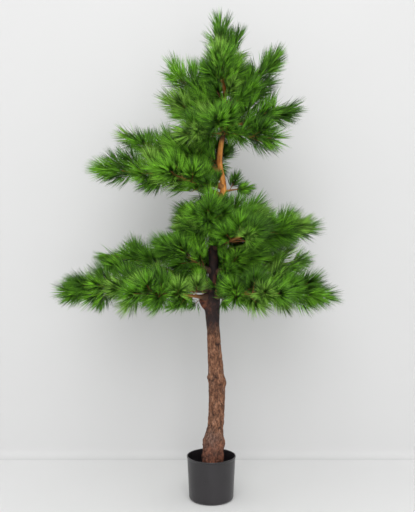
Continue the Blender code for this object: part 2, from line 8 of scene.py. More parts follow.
# %% The frame
"""The looks of an artificial pine, worked out as surfaces over two parameters.

Every limb is a line whose slope turns evenly from its root to its tip. Brushes leave it at the golden angle
and end on an ellipsoid, as they do in the solids, and most of them fork once more. A needle is a three-sided
sliver with one bend. The trunk's radius at a height and an angle is a smooth curve through stations, plus
round knots, plus a relief of lumps, fissures and flakes. The pot is a profile turned round its axis.
"""

from collections import namedtuple
from math import cos, pi, radians, sqrt

import bpy
import numpy as np
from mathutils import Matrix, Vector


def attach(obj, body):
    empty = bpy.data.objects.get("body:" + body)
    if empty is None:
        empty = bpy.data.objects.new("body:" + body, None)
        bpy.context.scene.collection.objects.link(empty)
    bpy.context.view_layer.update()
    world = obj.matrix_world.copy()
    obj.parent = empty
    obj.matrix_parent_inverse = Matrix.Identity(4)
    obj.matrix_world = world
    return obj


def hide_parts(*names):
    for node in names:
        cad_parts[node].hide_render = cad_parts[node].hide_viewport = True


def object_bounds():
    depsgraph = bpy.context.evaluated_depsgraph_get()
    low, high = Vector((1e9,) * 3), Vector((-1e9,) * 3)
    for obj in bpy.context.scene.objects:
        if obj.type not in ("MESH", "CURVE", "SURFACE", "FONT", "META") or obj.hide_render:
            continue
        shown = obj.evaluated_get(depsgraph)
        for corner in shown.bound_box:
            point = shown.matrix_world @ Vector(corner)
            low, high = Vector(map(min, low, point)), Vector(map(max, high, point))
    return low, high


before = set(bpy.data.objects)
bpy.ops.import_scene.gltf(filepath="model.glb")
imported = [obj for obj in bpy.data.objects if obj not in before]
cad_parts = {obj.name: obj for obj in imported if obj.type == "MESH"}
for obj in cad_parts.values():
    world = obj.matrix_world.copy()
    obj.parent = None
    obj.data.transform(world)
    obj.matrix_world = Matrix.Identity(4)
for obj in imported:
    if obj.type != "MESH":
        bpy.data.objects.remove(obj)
CAD_LOW, CAD_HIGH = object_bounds()
print("the frame's box:", [round(v, 3) for v in (*CAD_LOW, *CAD_HIGH)])

# %% [markdown]
# ## The sizes that everything grows from
#
# The stations give the trunk's height, its axis across and in depth, and its radius. The knots are the round
# swellings of the log, and the largest is the burl that the stem grows out of. Each limb has the height and
# azimuth of its root, its length to the needle tips, its slope at both ends, the width and thickness of the
# foliage it carries, its brushes, and how much of it is bare. These are the frame's own numbers.

# %% Driving sizes, in metres and degrees
STATION_HEIGHTS, STATION_X, STATION_Y, STATION_RADIUS = np.array([
    (0.110, 0.000, 0.000, 0.0385),
    (0.205, 0.009, 0.002, 0.0380),
    (0.270, 0.016, 0.005, 0.0300),
    (0.380, 0.021, 0.008, 0.0308),
    (0.500, 0.015, 0.009, 0.0272),
    (0.650, 0.006, 0.004, 0.0245),
    (0.712, 0.003, 0.001, 0.0285),
    (0.742, 0.001, 0.000, 0.0315),
    (0.776, 0.004, 0.000, 0.0212),
    (0.850, 0.008, -0.003, 0.0175),
    (0.950, 0.007, -0.005, 0.0170),
    (1.040, 0.018, 0.000, 0.0150),
    (1.140, 0.044, 0.006, 0.0120),
    (1.250, 0.030, 0.005, 0.0098),
    (1.310, 0.036, 0.002, 0.0094),
    (1.380, 0.049, 0.000, 0.0074),
    (1.500, 0.049, 0.002, 0.0052),
    (1.600, 0.041, 0.003, 0.0040),
]).T

KNOTS = (  # height, azimuth, how far out, half height
    (0.207, 350, 0.0050, 0.016),
    (0.215, 185, 0.0040, 0.018),
    (0.432, 2, 0.0065, 0.017),
    (0.446, 178, 0.0050, 0.014),
    (0.330, 75, 0.0045, 0.020),
    (0.575, 110, 0.0035, 0.018),
    (0.736, 178, 0.0070, 0.024),
    (0.728, 60, 0.0050, 0.022),
)
KNOT_HALF_ANGLE = 34

Limb = namedtuple("Limb", "name height azimuth length leave arrive width thick brushes bare")
LIMBS = (
    Limb("lower_left", 0.770, 181, 0.590, 3, -4, 0.24, 0.19, 10, 0.30),
    Limb("lower_left_front", 0.744, 226, 0.450, 8, 2, 0.24, 0.17, 8, 0.20),
    Limb("lower_left_back", 0.790, 154, 0.545, 17, 8, 0.25, 0.18, 8, 0.30),
    Limb("lower_left_inner", 0.835, 195, 0.280, 34, 20, 0.20, 0.17, 5, 0.16),
    Limb("lower_right", 0.770, 358, 0.478, 6, -14, 0.24, 0.18, 9, 0.28),
    Limb("lower_right_front", 0.748, 311, 0.410, 8, 2, 0.24, 0.16, 7, 0.20),
    Limb("lower_right_back", 0.795, 36, 0.505, 15, 4, 0.25, 0.18, 8, 0.28),
    Limb("lower_right_inner", 0.830, 338, 0.250, 32, 20, 0.18, 0.16, 5, 0.16),
    Limb("lower_back", 0.812, 92, 0.460, 10, 8, 0.26, 0.18, 7, 0.26),
    Limb("middle_right", 0.945, 2, 0.415, 12, 4, 0.25, 0.15, 9, 0.22),
    Limb("middle_right_front", 0.925, 305, 0.310, 18, 10, 0.22, 0.16, 7, 0.20),
    Limb("middle_right_inner", 1.012, 346, 0.235, 13, 8, 0.19, 0.15, 5, 0.14),
    Limb("middle_right_back", 0.980, 40, 0.440, 2, -4, 0.24, 0.17, 7, 0.24),
    Limb("middle_left", 0.985, 192, 0.170, 16, 10, 0.20, 0.16, 4, 0.16),
    Limb("middle_front", 1.005, 262, 0.230, 22, 20, 0.20, 0.16, 4, 0.16),
    Limb("middle_back", 1.018, 112, 0.370, 10, 8, 0.25, 0.18, 6, 0.20),
    Limb("upper_left", 1.152, 181, 0.510, 12, 3, 0.24, 0.15, 9, 0.26),
    Limb("upper_left_front", 1.116, 218, 0.350, 22, 10, 0.22, 0.14, 6, 0.22),
    Limb("upper_left_back", 1.185, 160, 0.485, 26, 20, 0.24, 0.16, 7, 0.24),
    Limb("upper_left_inner", 1.205, 190, 0.260, 28, 30, 0.18, 0.15, 4, 0.14),
    Limb("upper_back", 1.240, 112, 0.260, 10, 14, 0.20, 0.16, 4, 0.14),
    Limb("upper_right", 1.135, 10, 0.125, 8, 10, 0.10, 0.08, 2, 0.00),
    Limb("crown_right", 1.365, 358, 0.310, 14, 18, 0.20, 0.15, 7, 0.00),
    Limb("crown_left", 1.370, 184, 0.275, 18, 36, 0.20, 0.15, 6, 0.00),
    Limb("crown_front", 1.350, 264, 0.220, 8, 14, 0.19, 0.15, 5, 0.00),
    Limb("crown_right_front", 1.345, 332, 0.270, -8, -10, 0.18, 0.14, 5, 0.00),
    Limb("crown_left_front", 1.345, 220, 0.240, -4, -4, 0.18, 0.14, 5, 0.00),
    Limb("crown_back", 1.385, 96, 0.260, 10, 15, 0.22, 0.15, 6, 0.00),
    Limb("crown_upper_left", 1.425, 176, 0.315, 20, 74, 0.18, 0.16, 6, 0.00),
    Limb("crown_upper_right", 1.430, 4, 0.322, 34, 68, 0.18, 0.15, 6, 0.00),
    Limb("crown_upper_front", 1.480, 258, 0.235, 42, 68, 0.17, 0.14, 5, 0.00),
    Limb("crown_upper_back", 1.490, 98, 0.200, 40, 60, 0.17, 0.14, 4, 0.00),
    Limb("crown_side", 1.580, 4, 0.180, 56, 80, 0.09, 0.09, 2, 0.00),
    Limb("crown_top", 1.600, 180, 0.196, 86, 84, 0.10, 0.10, 4, 0.00),
)
print(len(LIMBS), "limbs and", sum(limb.brushes for limb in LIMBS), "brushes to fork")

# %% [markdown]
# ## Helpers that turn arrays into meshes
#
# Blender takes a mesh as plain arrays: places, the corners of every face one after another, and where each
# face starts. foreach_set hands over a whole array at once, which stays quick with half a million faces,
# where adding vertices one by one would not. All the surfaces below come through this one door.

# %% A mesh from arrays
UP = np.array((0.0, 0.0, 1.0))


def mesh_from(name, places, faces, materials, picks=None):
    """A smooth object from places (n, 3) and a list of face arrays, each (m, corners).

    picks gives each face the number of its material, where there are several."""
    mesh = bpy.data.meshes.new(name)
    corners = np.concatenate([f.ravel() for f in faces]).astype(np.int32)
    sizes = np.concatenate([np.full(len(f), f.shape[1], np.int32) for f in faces])
    mesh.vertices.add(len(places))
    mesh.vertices.foreach_set("co", np.ascontiguousarray(places, np.float32).ravel())
    mesh.loops.add(len(corners))
    mesh.loops.foreach_set("vertex_index", corners)
    mesh.polygons.add(len(sizes))
    firsts = np.concatenate(([0], np.cumsum(sizes)[:-1])).astype(np.int32)
    mesh.polygons.foreach_set("loop_start", firsts)
    mesh.polygons.foreach_set("use_smooth", np.full(len(sizes), True))
    for material in materials:
        mesh.materials.append(material)
    if picks is not None:
        mesh.polygons.foreach_set("material_index", picks.astype(np.int32))
    mesh.update(calc_edges=True)
    made = bpy.data.objects.new(name, mesh)
    bpy.context.scene.collection.objects.link(made)
    print(f"{name}: {len(places)} places, {int((sizes - 2).sum())} triangles")
    return made


def add_measure(piece, name, values):
    """A number for each place of a mesh, which its material can read as an attribute."""
    layer = piece.data.attributes.new(name, "FLOAT", "POINT")
    layer.data.foreach_set("value", np.ascontiguousarray(values, np.float32).ravel())


# %% Closed tubes over a grid
def grid_quads(rows, columns, closed):
    """Quads of a grid whose places run row by row. A closed one joins its last column to its first."""
    i, j = np.meshgrid(np.arange(rows - 1), np.arange(columns if closed else columns - 1), indexing="ij")
    low, high = i * columns, (i + 1) * columns
    k = (j + 1) % columns
    return np.stack((low + j, low + k, high + k, high + j), axis=-1).reshape(-1, 4)


def tube_faces(rows, sides):
    """Quads of a grid that closes on itself across, and the two fans to the poles, which come last."""
    j = np.arange(sides)
    k = (j + 1) % sides
    pole, top = np.full(sides, rows * sides), (rows - 1) * sides
    fans = np.concatenate((np.stack((k, j, pole), axis=1), np.stack((top + j, top + k, pole + 1), axis=1)))
    return grid_quads(rows, sides, closed=True), fans


def unit(vectors):
    """Each vector divided by its length."""
    return vectors / np.linalg.norm(vectors, axis=-1, keepdims=True)


def tubes(paths, radii, sides):
    """Tubes round many lines at once: paths (n, rows, 3), and radii (n, rows) or (n, rows, sides).

    At each row, place = path + radius * (cos(a) * side + sin(a) * other), and side is square to the line."""
    count, rows = paths.shape[:2]
    along = unit(np.gradient(paths, axis=1))
    mean = unit(along.mean(axis=1, keepdims=True))
    guide = np.where(np.abs(mean[..., 2:]) < 0.8, UP, np.array((1.0, 0.0, 0.0)))
    side = unit(np.cross(along, guide))
    other = np.cross(along, side)
    angles = np.linspace(0, 2 * pi, sides, endpoint=False)
    spokes = np.cos(angles)[:, None] * side[:, :, None] + np.sin(angles)[:, None] * other[:, :, None]
    radii = radii[..., None] if radii.ndim == 2 else radii
    rings = paths[:, :, None] + radii[..., None] * spokes
    places = np.concatenate((rings.reshape(count, -1, 3), paths[:, :1], paths[:, -1:]), axis=1)
    quads, fans = tube_faces(rows, sides)
    starts = np.arange(count)[:, None, None] * places.shape[1]
    return places.reshape(-1, 3), [(quads + starts).reshape(-1, 4), (fans + starts).reshape(-1, 3)]


print("a tube of 4 rows and 3 sides has", sum(map(len, tube_faces(4, 3))), "faces")

# %% [markdown]
# ## Noise that closes round a trunk
#
# Bark needs bumps that join up where the surface closes on itself. Blender's own noise would need a cylinder
# in a fourth dimension, so a small lattice of random numbers does instead. The lattice repeats across, and a
# smooth step blends between its corners. Adding a few, each finer and weaker, gives natural roughness.

# %% Lattice noise
def lattice_noise(across, upward, columns, rows, seed):
    """Noise in -1..1 at across, in turns, and upward, in 0..1: lattice corners blended by 3t^2 - 2t^3."""
    corners = np.random.default_rng(seed).uniform(-1, 1, (rows + 2, columns))
    u, v = (across % 1.0) * columns, np.clip(upward, 0, 1) * rows
    i, j = np.floor(v).astype(int), np.floor(u).astype(int) % columns
    s, t = u - np.floor(u), v - np.floor(v)
    s, t = s * s * (3 - 2 * s), t * t * (3 - 2 * t)
    right = (j + 1) % columns
    low = corners[i, j] * (1 - s) + corners[i, right] * s
    high = corners[i + 1, j] * (1 - s) + corners[i + 1, right] * s
    return low * (1 - t) + high * t


def layered_noise(across, upward, columns, rows, seed, layers=4, fade=0.5):
    """The sum of lattice noises, each twice as fine and fade times as strong as the one before."""
    weights = fade ** np.arange(layers)
    parts = [w * lattice_noise(across, upward, columns * 2**k, rows * 2**k, seed + k)
             for k, w in enumerate(weights)]
    return sum(parts) / weights.sum()


print("a line of noise:", np.round(layered_noise(np.linspace(0, 1, 5), np.full(5, 0.5), 5, 9, seed=1), 3))

# %% [markdown]
# ## Shader groups that the materials share
#
# Most of these finishes need the same thing: a mottled mask at some scale, stretched along the tree or not.
# A node group holds it once, with its sockets made by interface.new_socket, and every material places it
# with its own values. It reads Object coordinates, so the pattern is fixed to the piece. The group gives out
# only a mask. Each material turns that into colour, roughness and bump beside its own Principled shader.

# %% The mottle group
def build_mottle():
    """mask = (noise at (x, y, z * stretch) * scale - 0.5) * contrast + 0.5, kept within 0..1."""
    group = bpy.data.node_groups.new("mottle", "ShaderNodeTree")
    for name, value in (("Scale", 20.0), ("Stretch", 1.0), ("Detail", 4.0), ("Contrast", 1.0)):
        socket = group.interface.new_socket(name, in_out="INPUT", socket_type="NodeSocketFloat")
        socket.default_value = value
    group.interface.new_socket("Mask", in_out="OUTPUT", socket_type="NodeSocketFloat")
    given, place, stretch, times, noise, shift, spread, result = (group.nodes.new(kind) for kind in (
        "NodeGroupInput", "ShaderNodeTexCoord", "ShaderNodeCombineXYZ", "ShaderNodeVectorMath",
        "ShaderNodeTexNoise", "ShaderNodeMath", "ShaderNodeMath", "NodeGroupOutput"))
    times.operation, shift.operation, spread.operation = "MULTIPLY", "SUBTRACT", "MULTIPLY_ADD"
    stretch.inputs["X"].default_value = stretch.inputs["Y"].default_value = 1.0
    shift.inputs[1].default_value = spread.inputs[2].default_value = 0.5
    spread.use_clamp = True
    for source, target in (
        (given.outputs["Stretch"], stretch.inputs["Z"]),
        (place.outputs["Object"], times.inputs[0]),
        (stretch.outputs["Vector"], times.inputs[1]),
        (times.outputs["Vector"], noise.inputs["Vector"]),
        (given.outputs["Scale"], noise.inputs["Scale"]),
        (given.outputs["Detail"], noise.inputs["Detail"]),
        (noise.outputs["Fac"], shift.inputs[0]),
        (shift.outputs["Value"], spread.inputs[0]),
        (given.outputs["Contrast"], spread.inputs[1]),
        (spread.outputs["Value"], result.inputs["Mask"]),
    ):
        group.links.new(source, target)
    return group


MOTTLE = build_mottle()
print("group", MOTTLE.name, "with", len(MOTTLE.nodes), "nodes")


# %% Small builders for materials
class Finish:
    """A material with its Principled shader, and short calls that add nodes to it."""

    def __init__(self, name, roughness, specular):
        self.material = bpy.data.materials.new(name)
        self.material.use_nodes = True
        self.nodes = self.material.node_tree.nodes
        self.links = self.material.node_tree.links
        self.shader = self.nodes["Principled BSDF"]
        self.shader.inputs["Roughness"].default_value = roughness
        self.shader.inputs["Specular IOR Level"].default_value = specular

    def feed(self, node, result, **sockets):
        """Gives a node's sockets their links, numbers or plain colours, and hands back one of its outputs."""
        for name, value in sockets.items():
            socket = node.inputs[name.replace("_", " ")]
            if isinstance(value, bpy.types.NodeSocket):
                self.links.new(value, socket)
            else:
                socket.default_value = (*value, 1.0) if isinstance(value, tuple) else value
        return node.outputs[result]

    def mottle(self, scale, stretch=1.0, detail=4.0, contrast=1.5):
        """The shared group's mask, at this material's own scale."""
        node = self.nodes.new("ShaderNodeGroup")
        node.node_tree = MOTTLE
        return self.feed(node, "Mask", Scale=scale, Stretch=stretch, Detail=detail, Contrast=contrast)

    def measure(self, name):
        """The share that the mesh holds at each place under this name."""
        node = self.nodes.new("ShaderNodeAttribute")
        node.attribute_name = name
        return node.outputs["Fac"]

    def ramp(self, mask, stops):
        """Colours at places along 0..1, straight between them."""
        node = self.nodes.new("ShaderNodeValToRGB")
        while len(node.color_ramp.elements) < len(stops):
            node.color_ramp.elements.new(0.5)
        for element, (place, colour) in zip(node.color_ramp.elements, stops):
            element.position = place
            element.color = (*colour, 1.0)
        return self.feed(node, "Color", Fac=mask)

    def mix(self, mask, first, second, way="MIX"):
        """first * (1 - mask) + second * mask, or the same with first times second in place of second."""
        node = self.nodes.new("ShaderNodeMix")
        node.data_type = "RGBA"
        node.blend_type = way
        return self.feed(node, "Result", Factor=mask, A=first, B=second)

    def times(self, first, second):
        """Two colours multiplied."""
        return self.mix(1.0, first, second, "MULTIPLY")

    def colour(self, output):
        """The shader's base colour."""
        self.links.new(output, self.shader.inputs["Base Color"])

    def roughness(self, mask, low, high):
        """Roughness from low to high, as the mask goes from 0 to 1."""
        node = self.nodes.new("ShaderNodeMapRange")
        rough = self.feed(node, "Result", Value=mask, To_Min=low, To_Max=high)
        self.links.new(rough, self.shader.inputs["Roughness"])

    def bump(self, mask, distance, strength):
        """Small relief that only shades: the mask's height times a distance."""
        node = self.nodes.new("ShaderNodeBump")
        normal = self.feed(node, "Normal", Height=mask, Distance=distance, Strength=strength)
        self.links.new(normal, self.shader.inputs["Normal"])


# %% [markdown]
# ## The trunk: a rough log, a dark graft and a smooth orange stem
#
# The lower trunk is a real or cast log with fissured bark, rougher and damper looking at its foot. It ends in
# a reddish burl on its left. Above that come wired stems, bound in dark tape, and then in an orange-brown
# skin that is nearly smooth, but for a dark binding where the crown's arms leave it. The tape's colour is
# darkened past its own with painted shade from the canopy, in the binding too. One surface over angle and
# height covers all of it. Its radius is the stations' curve plus the knots, as in the frame, plus a relief
# that is deep on the log and faint on the stem. Modelling the fissures, and not only shading them, gives the
# log its broken edge. Each kind of surface is a share at every point, which the material reads.

# %% The trunk's curve and knots
def trunk_curve(heights):
    """Axis points and radii at heights: a cubic through the stations, sloped by both neighbours of each."""
    values = np.stack((STATION_X, STATION_Y, STATION_RADIUS), axis=1)
    slopes = np.gradient(values, STATION_HEIGHTS, axis=0)
    i = np.clip(np.searchsorted(STATION_HEIGHTS, heights) - 1, 0, len(STATION_HEIGHTS) - 2)
    span = (STATION_HEIGHTS[i + 1] - STATION_HEIGHTS[i])[..., None]
    t = (heights - STATION_HEIGHTS[i])[..., None] / span
    found = ((2 * t**3 - 3 * t**2 + 1) * values[i] + (t**3 - 2 * t**2 + t) * span * slopes[i]
             + (3 * t**2 - 2 * t**3) * values[i + 1] + (t**3 - t**2) * span * slopes[i + 1])
    return np.stack((found[..., 0], found[..., 1], heights), axis=-1), found[..., 2]


def knot_bulge(heights, turns):
    """Each knot's rise, falling off as a bell over height and over angle. Angles are in turns."""
    out = 0.0
    for knot_height, azimuth, rise, half_height in KNOTS:
        off = (turns * 360 - azimuth + 180) % 360 - 180
        up = (heights - knot_height) / half_height
        out = out + rise * np.exp(-(up**2) - (off / KNOT_HALF_ANGLE) ** 2)
    return out


def smooth_step(values, start, end):
    """0 below start, 1 above end, and 3t^2 - 2t^3 between."""
    t = np.clip((values - start) / (end - start), 0, 1)
    return t * t * (3 - 2 * t)


print("the trunk's radius half a metre up:", round(float(trunk_curve(np.array([0.5]))[1][0]) * 1000, 1), "mm")

# %% The bark's zones
LOG_TOP = (0.598, 0.655)  # where the log's bark gives way to the graft: dark tape with painted shade
STEM_FROM = (1.015, 1.085)  # where the dark taped stem, with its painted shade, turns orange
CROWN_FORK, CROWN_FORK_HALF = 1.352, 0.034  # where the dark tape, with its painted shade, comes back under the crown
BELL_POWER = 4  # of the bells that bound that binding and the burl: the higher, the squarer
FOOT_TO = (0.14, 0.27)  # below this the log is redder
BURL_HEIGHT, BURL_HALF_HEIGHT, BURL_TURN, BURL_HALF_TURN = 0.722, 0.019, 0.515, 0.12


def bark_zones(turns, heights, edge):
    """How much of the surface is log, orange stem, burl and reddish foot, with ragged edges between.

    A step blends each pair. The binding and the burl are bells: e^-(distance / half size)^BELL_POWER."""
    log = 1 - smooth_step(heights + edge, *LOG_TOP)
    binding = np.exp(-((heights - CROWN_FORK) / CROWN_FORK_HALF) ** BELL_POWER)
    stem = smooth_step(heights + edge, *STEM_FROM) * (1 - binding)
    round_burl = ((turns - BURL_TURN + 0.5) % 1 - 0.5) / BURL_HALF_TURN
    burl = np.exp(-((heights - BURL_HEIGHT) / BURL_HALF_HEIGHT) ** BELL_POWER - round_burl**2)
    foot = 1 - smooth_step(heights + edge, *FOOT_TO)
    return {"log": log, "stem": stem, "burl": burl, "foot": foot}


print("zones: log under", LOG_TOP, "stem over", STEM_FROM, "foot under", FOOT_TO)

# %% The bark's relief
BARK_NOISES = {  # columns round the trunk, rows up it, seed, layers, fade
    "waver": (8, 90, 11, 2, 0.5),
    "edge": (5, 50, 12, 3, 0.5),
    "lumps": (5, 40, 13, 4, 0.6),
    "wide": (17, 34, 14, 2, 0.45),
    "narrow": (34, 110, 15, 2, 0.45),
    "flakes": (44, 190, 16, 2, 0.7),
    "broken": (12, 70, 17, 2, 0.5),
}
WAVER, EDGE = 0.016, 0.016  # a bend of the fissures in turns, and of the zones' edges in metres
WIDE_KEEP, NARROW_KEEP, BROKEN = 0.86, 0.80, (-0.35, 0.25)
NARROW_SHADE, FLAKE_SHADE, STEM_SHADE = 0.7, 0.25, 0.6  # parts in how much painted shade a hollow gets
LUMP_DEPTH, FISSURE_DEPTH, FLAKE_DEPTH, BURL_RISE = 0.0028, 0.0028, 0.0013, 0.0085
NARROW_DEPTH = 0.45  # against a wide fissure's
FOOT_EXTRA, GRAFT_DEPTH, STEM_DEPTH = 0.9, 0.40, 0.10  # shares of the log's relief: added, and in all
TRUNK_FOOT, TRUNK_TIP = 0.1065, 1.600


def ridges(noise, keep):
    """1 where a noise crosses zero, down to 0 where its size is 1 - keep: narrow, winding lines."""
    return np.clip((1 - np.abs(noise) - keep) / (1 - keep), 0, 1)


def bark_relief(turns, heights):
    """How far the bark stands out, how much painted shade its hollows get, and how much of it is in each zone.

    relief = the zone's depth * (lumps - fissures + flakes) + burl. Fissures are ridges of a noise whose angle
    is bent by a second one, and a third one breaks the wide ones."""
    share = (heights - TRUNK_FOOT) / (TRUNK_TIP - TRUNK_FOOT)
    waver = WAVER * layered_noise(turns, share, *BARK_NOISES["waver"])
    edge = EDGE * layered_noise(turns, share, *BARK_NOISES["edge"])
    lumps = layered_noise(turns, share, *BARK_NOISES["lumps"])
    broken = smooth_step(layered_noise(turns, share, *BARK_NOISES["broken"]), *BROKEN)
    wide, narrow, flakes = (layered_noise(turns + waver, share, *BARK_NOISES[name])
                            for name in ("wide", "narrow", "flakes"))
    wide, narrow = ridges(wide, WIDE_KEEP) * broken, ridges(narrow, NARROW_KEEP)
    zones = bark_zones(turns, heights, edge)
    log, stem, burl, foot = zones.values()
    # painted shade: fissures, less the raised flakes, are darkened in the colour, less so on the stem
    hollow = np.clip(wide + NARROW_SHADE * narrow - FLAKE_SHADE * flakes, 0, 1) * (1 - STEM_SHADE * stem)
    depth = log * (1 + FOOT_EXTRA * foot) + (1 - log) * (1 - stem) * GRAFT_DEPTH + stem * STEM_DEPTH
    fine = LUMP_DEPTH * lumps - FISSURE_DEPTH * (wide + NARROW_DEPTH * narrow) + FLAKE_DEPTH * flakes
    return depth * fine + BURL_RISE * burl, {"hollow": hollow, **zones}


TRUNK_SIDES, LOG_ROWS, STEM_ROWS, ROWS_CHANGE = 144, 380, 180, 0.79
angle_turns = np.arange(TRUNK_SIDES) / TRUNK_SIDES
trunk_heights = np.concatenate((np.linspace(TRUNK_FOOT, ROWS_CHANGE, LOG_ROWS),
                                np.linspace(ROWS_CHANGE, TRUNK_TIP, STEM_ROWS)[1:]))
TURNS, HEIGHTS = np.meshgrid(angle_turns, trunk_heights)
relief, bark_shares = bark_relief(TURNS, HEIGHTS)
print("relief from", round(float(relief.min()) * 1000, 2), "to", round(float(relief.max()) * 1000, 2), "mm")

# %% [markdown]
# ## The trunk's finish
#
# The log is dry brown bark with paler flakes and worn patches, and redder and darker at its foot. The graft
# above it is nearly black, dark tape with painted shade, and the stem's skin is a streaky orange. An image
# wrapped round the trunk would smear over the knots, so mottled masks that are stretched along the tree make
# the colours. The mesh's shares then mix one kind of surface into the next, and painted shade darkens the
# hollows last.

# %% The bark's material
bark = Finish("bark", 0.85, specular=0.3)
flake_colour = bark.ramp(bark.mottle(75, stretch=0.45, detail=5, contrast=2.4), (
    (0.00, (0.095, 0.036, 0.020)), (0.40, (0.205, 0.092, 0.048)),
    (0.75, (0.302, 0.146, 0.082)), (1.00, (0.415, 0.232, 0.152))))
worn_colour = bark.ramp(bark.mottle(110, stretch=0.6, contrast=2.0), (
    (0.00, (0.085, 0.050, 0.038)), (0.50, (0.168, 0.098, 0.072)), (1.00, (0.270, 0.176, 0.136))))
patches = bark.ramp(bark.mottle(13, stretch=0.5, contrast=3.0), ((0.10, (0, 0, 0)), (0.55, (1, 1, 1))))
specks = bark.ramp(bark.mottle(190, stretch=0.55, detail=3, contrast=3.5), (
    (0.20, (0.56, 0.51, 0.50)), (0.60, (1, 1, 1))))
dry_colour = bark.times(bark.mix(patches, worn_colour, flake_colour), specks)
damp = bark.mottle(60, stretch=0.6, contrast=3.5)
damp_colour = bark.mix(damp, (0.260, 0.098, 0.056), (0.060, 0.026, 0.019))
log_colour = bark.mix(bark.measure("foot"), dry_colour, damp_colour)
# painted shade: the graft's tape colours are darkened to near black for the canopy's shade over them
tape_and_painted_shade_colour = bark.ramp(bark.mottle(45, stretch=0.7, detail=5, contrast=3.0), (
    (0.00, (0.010, 0.007, 0.008)), (0.60, (0.024, 0.014, 0.014)), (1.00, (0.095, 0.034, 0.022))))
stem_colour = bark.ramp(bark.mottle(70, stretch=0.5, detail=5, contrast=2.4), (
    (0.00, (0.250, 0.066, 0.018)), (0.35, (0.640, 0.238, 0.048)), (1.00, (0.860, 0.400, 0.100))))
burl_colour = bark.ramp(bark.mottle(52, contrast=3.5), (
    (0.00, (0.045, 0.015, 0.011)), (0.50, (0.200, 0.056, 0.029)), (1.00, (0.420, 0.150, 0.068))))
# dark tape with painted shade, and the burl where it swells out
tape_shade_and_burl_colour = bark.mix(bark.measure("burl"), tape_and_painted_shade_colour, burl_colour)
above_log = bark.mix(bark.measure("stem"), tape_shade_and_burl_colour, stem_colour)
bare_colour = bark.mix(bark.measure("log"), above_log, log_colour)
# painted shade: the hollows are mixed toward a near-black brown
bark.colour(bark.mix(bark.measure("hollow"), bare_colour, (0.030, 0.014, 0.010)))
bark.roughness(bark.mottle(90, detail=3), 0.66, 0.95)
bark.bump(bark.mottle(280, stretch=0.5, detail=6, contrast=2.0), 0.0012, 0.7)
print("bark has", len(bark.nodes), "nodes")


# %% The trunk's surface
def trunk_places(turns, heights, relief):
    """place = axis + (radius + knots + relief) * (cos, sin, 0), at each angle and height."""
    axis, radius = trunk_curve(heights)
    reach = radius + knot_bulge(heights, turns) + relief
    spoke = np.stack((np.cos(2 * pi * turns), np.sin(2 * pi * turns), 0 * turns), axis=-1)
    return axis + reach[..., None] * spoke


poles = trunk_curve(trunk_heights[[0, -1]])[0]
trunk_grid = trunk_places(TURNS, HEIGHTS, relief)
trunk_piece = mesh_from("trunk_bark", np.vstack((trunk_grid.reshape(-1, 3), poles)),
                        tube_faces(len(trunk_heights), len(angle_turns)), [bark.material])
# the hollows' share is painted shade for the bark's colour
for name, values in bark_shares.items():
    add_measure(trunk_piece, name, np.append(values.ravel(), (values[0, 0], values[-1, 0])))
print("it holds", list(bark_shares))

# %% [markdown]
# ## The limbs' lines
#
# A limb is a wired arm. Its slope turns evenly from leaving the trunk to its tip, and it swings a little to
# one side and back, so no two look drawn with a ruler. The line is added up from short steps, as in the
# frame, and every bough, stem, twig and brush is placed on it. The foliage of a limb fills an ellipsoid.

# %% A limb's line
AXIS_STEPS, SWAY = 40, 0.08  # the sway is in radians


def limb_line(limb):
    """Points along a limb and its directions: steps of length / AXIS_STEPS, each at its slope and azimuth."""
    t = np.linspace(0, 1, AXIS_STEPS + 1)
    slope = np.radians(limb.leave + (limb.arrive - limb.leave) * t)
    azimuth = radians(limb.azimuth) + (SWAY if limb.azimuth % 2 else -SWAY) * np.cos(pi * t)
    level = np.stack((np.cos(azimuth), np.sin(azimuth), 0 * azimuth), axis=1)
    steps = np.cos(slope)[:, None] * level + np.sin(slope)[:, None] * UP
    walked = np.cumsum((steps[1:] + steps[:-1]) / 2, axis=0) * limb.length / AXIS_STEPS
    start = trunk_curve(np.array([limb.height]))[0][0]
    return start + np.vstack((np.zeros(3), walked)), steps


LINES = {limb.name: limb_line(limb) for limb in LIMBS}


def along(limb, distances):
    """Points and directions at distances along a limb, straight between its line's points."""
    points, steps = LINES[limb.name]
    where = np.linspace(0, limb.length, AXIS_STEPS + 1)
    place = np.stack([np.interp(distances, where, points[:, k]) for k in range(3)], axis=-1)
    return place, unit(np.stack([np.interp(distances, where, steps[:, k]) for k in range(3)], axis=-1))


print("the longest limb's tips:", np.round(LINES["lower_left"][0][-1], 3))

# %% A limb's stem and its ellipsoid
GAP = 0.0003  # between the frame's solids
ROOT_SEARCH, ROOT_TRIES = 0.09, 361  # how far along a limb its way out of the trunk is looked for
LEADER = "crown_top"
UPRIGHT = 0.05  # a line that leans less than this has no side of its own
NEEDLE_LENGTH, BRUSH_LENGTH, NEEDLE_SPLAY, FULL_BRUSH_LIMB = 0.084, 0.048, 28, 0.21


def root_distance(limb):
    """Where the limb's line comes out of the trunk for good."""
    if limb.name == LEADER:
        return 0.0
    tried = np.linspace(0, ROOT_SEARCH, ROOT_TRIES)
    points = along(limb, tried)[0]
    axis, radius = trunk_curve(points[:, 2])
    flat = points - axis
    bulge = knot_bulge(points[:, 2], np.arctan2(flat[:, 1], flat[:, 0]) / (2 * pi))
    inside = np.hypot(flat[:, 0], flat[:, 1]) < radius + bulge
    return float(tried[np.nonzero(inside)[0].max() + 1])


def stem_span(limb):
    """Where the needled stem starts, where its last brush starts, and its brushes' scale and reach."""
    scale = min(1.0, limb.length / FULL_BRUSH_LIMB)
    reach = scale * (NEEDLE_LENGTH * cos(radians(NEEDLE_SPLAY)) + BRUSH_LENGTH)
    start = limb.length * limb.bare + GAP if limb.bare else root_distance(limb)
    return start, limb.length - reach, scale, reach


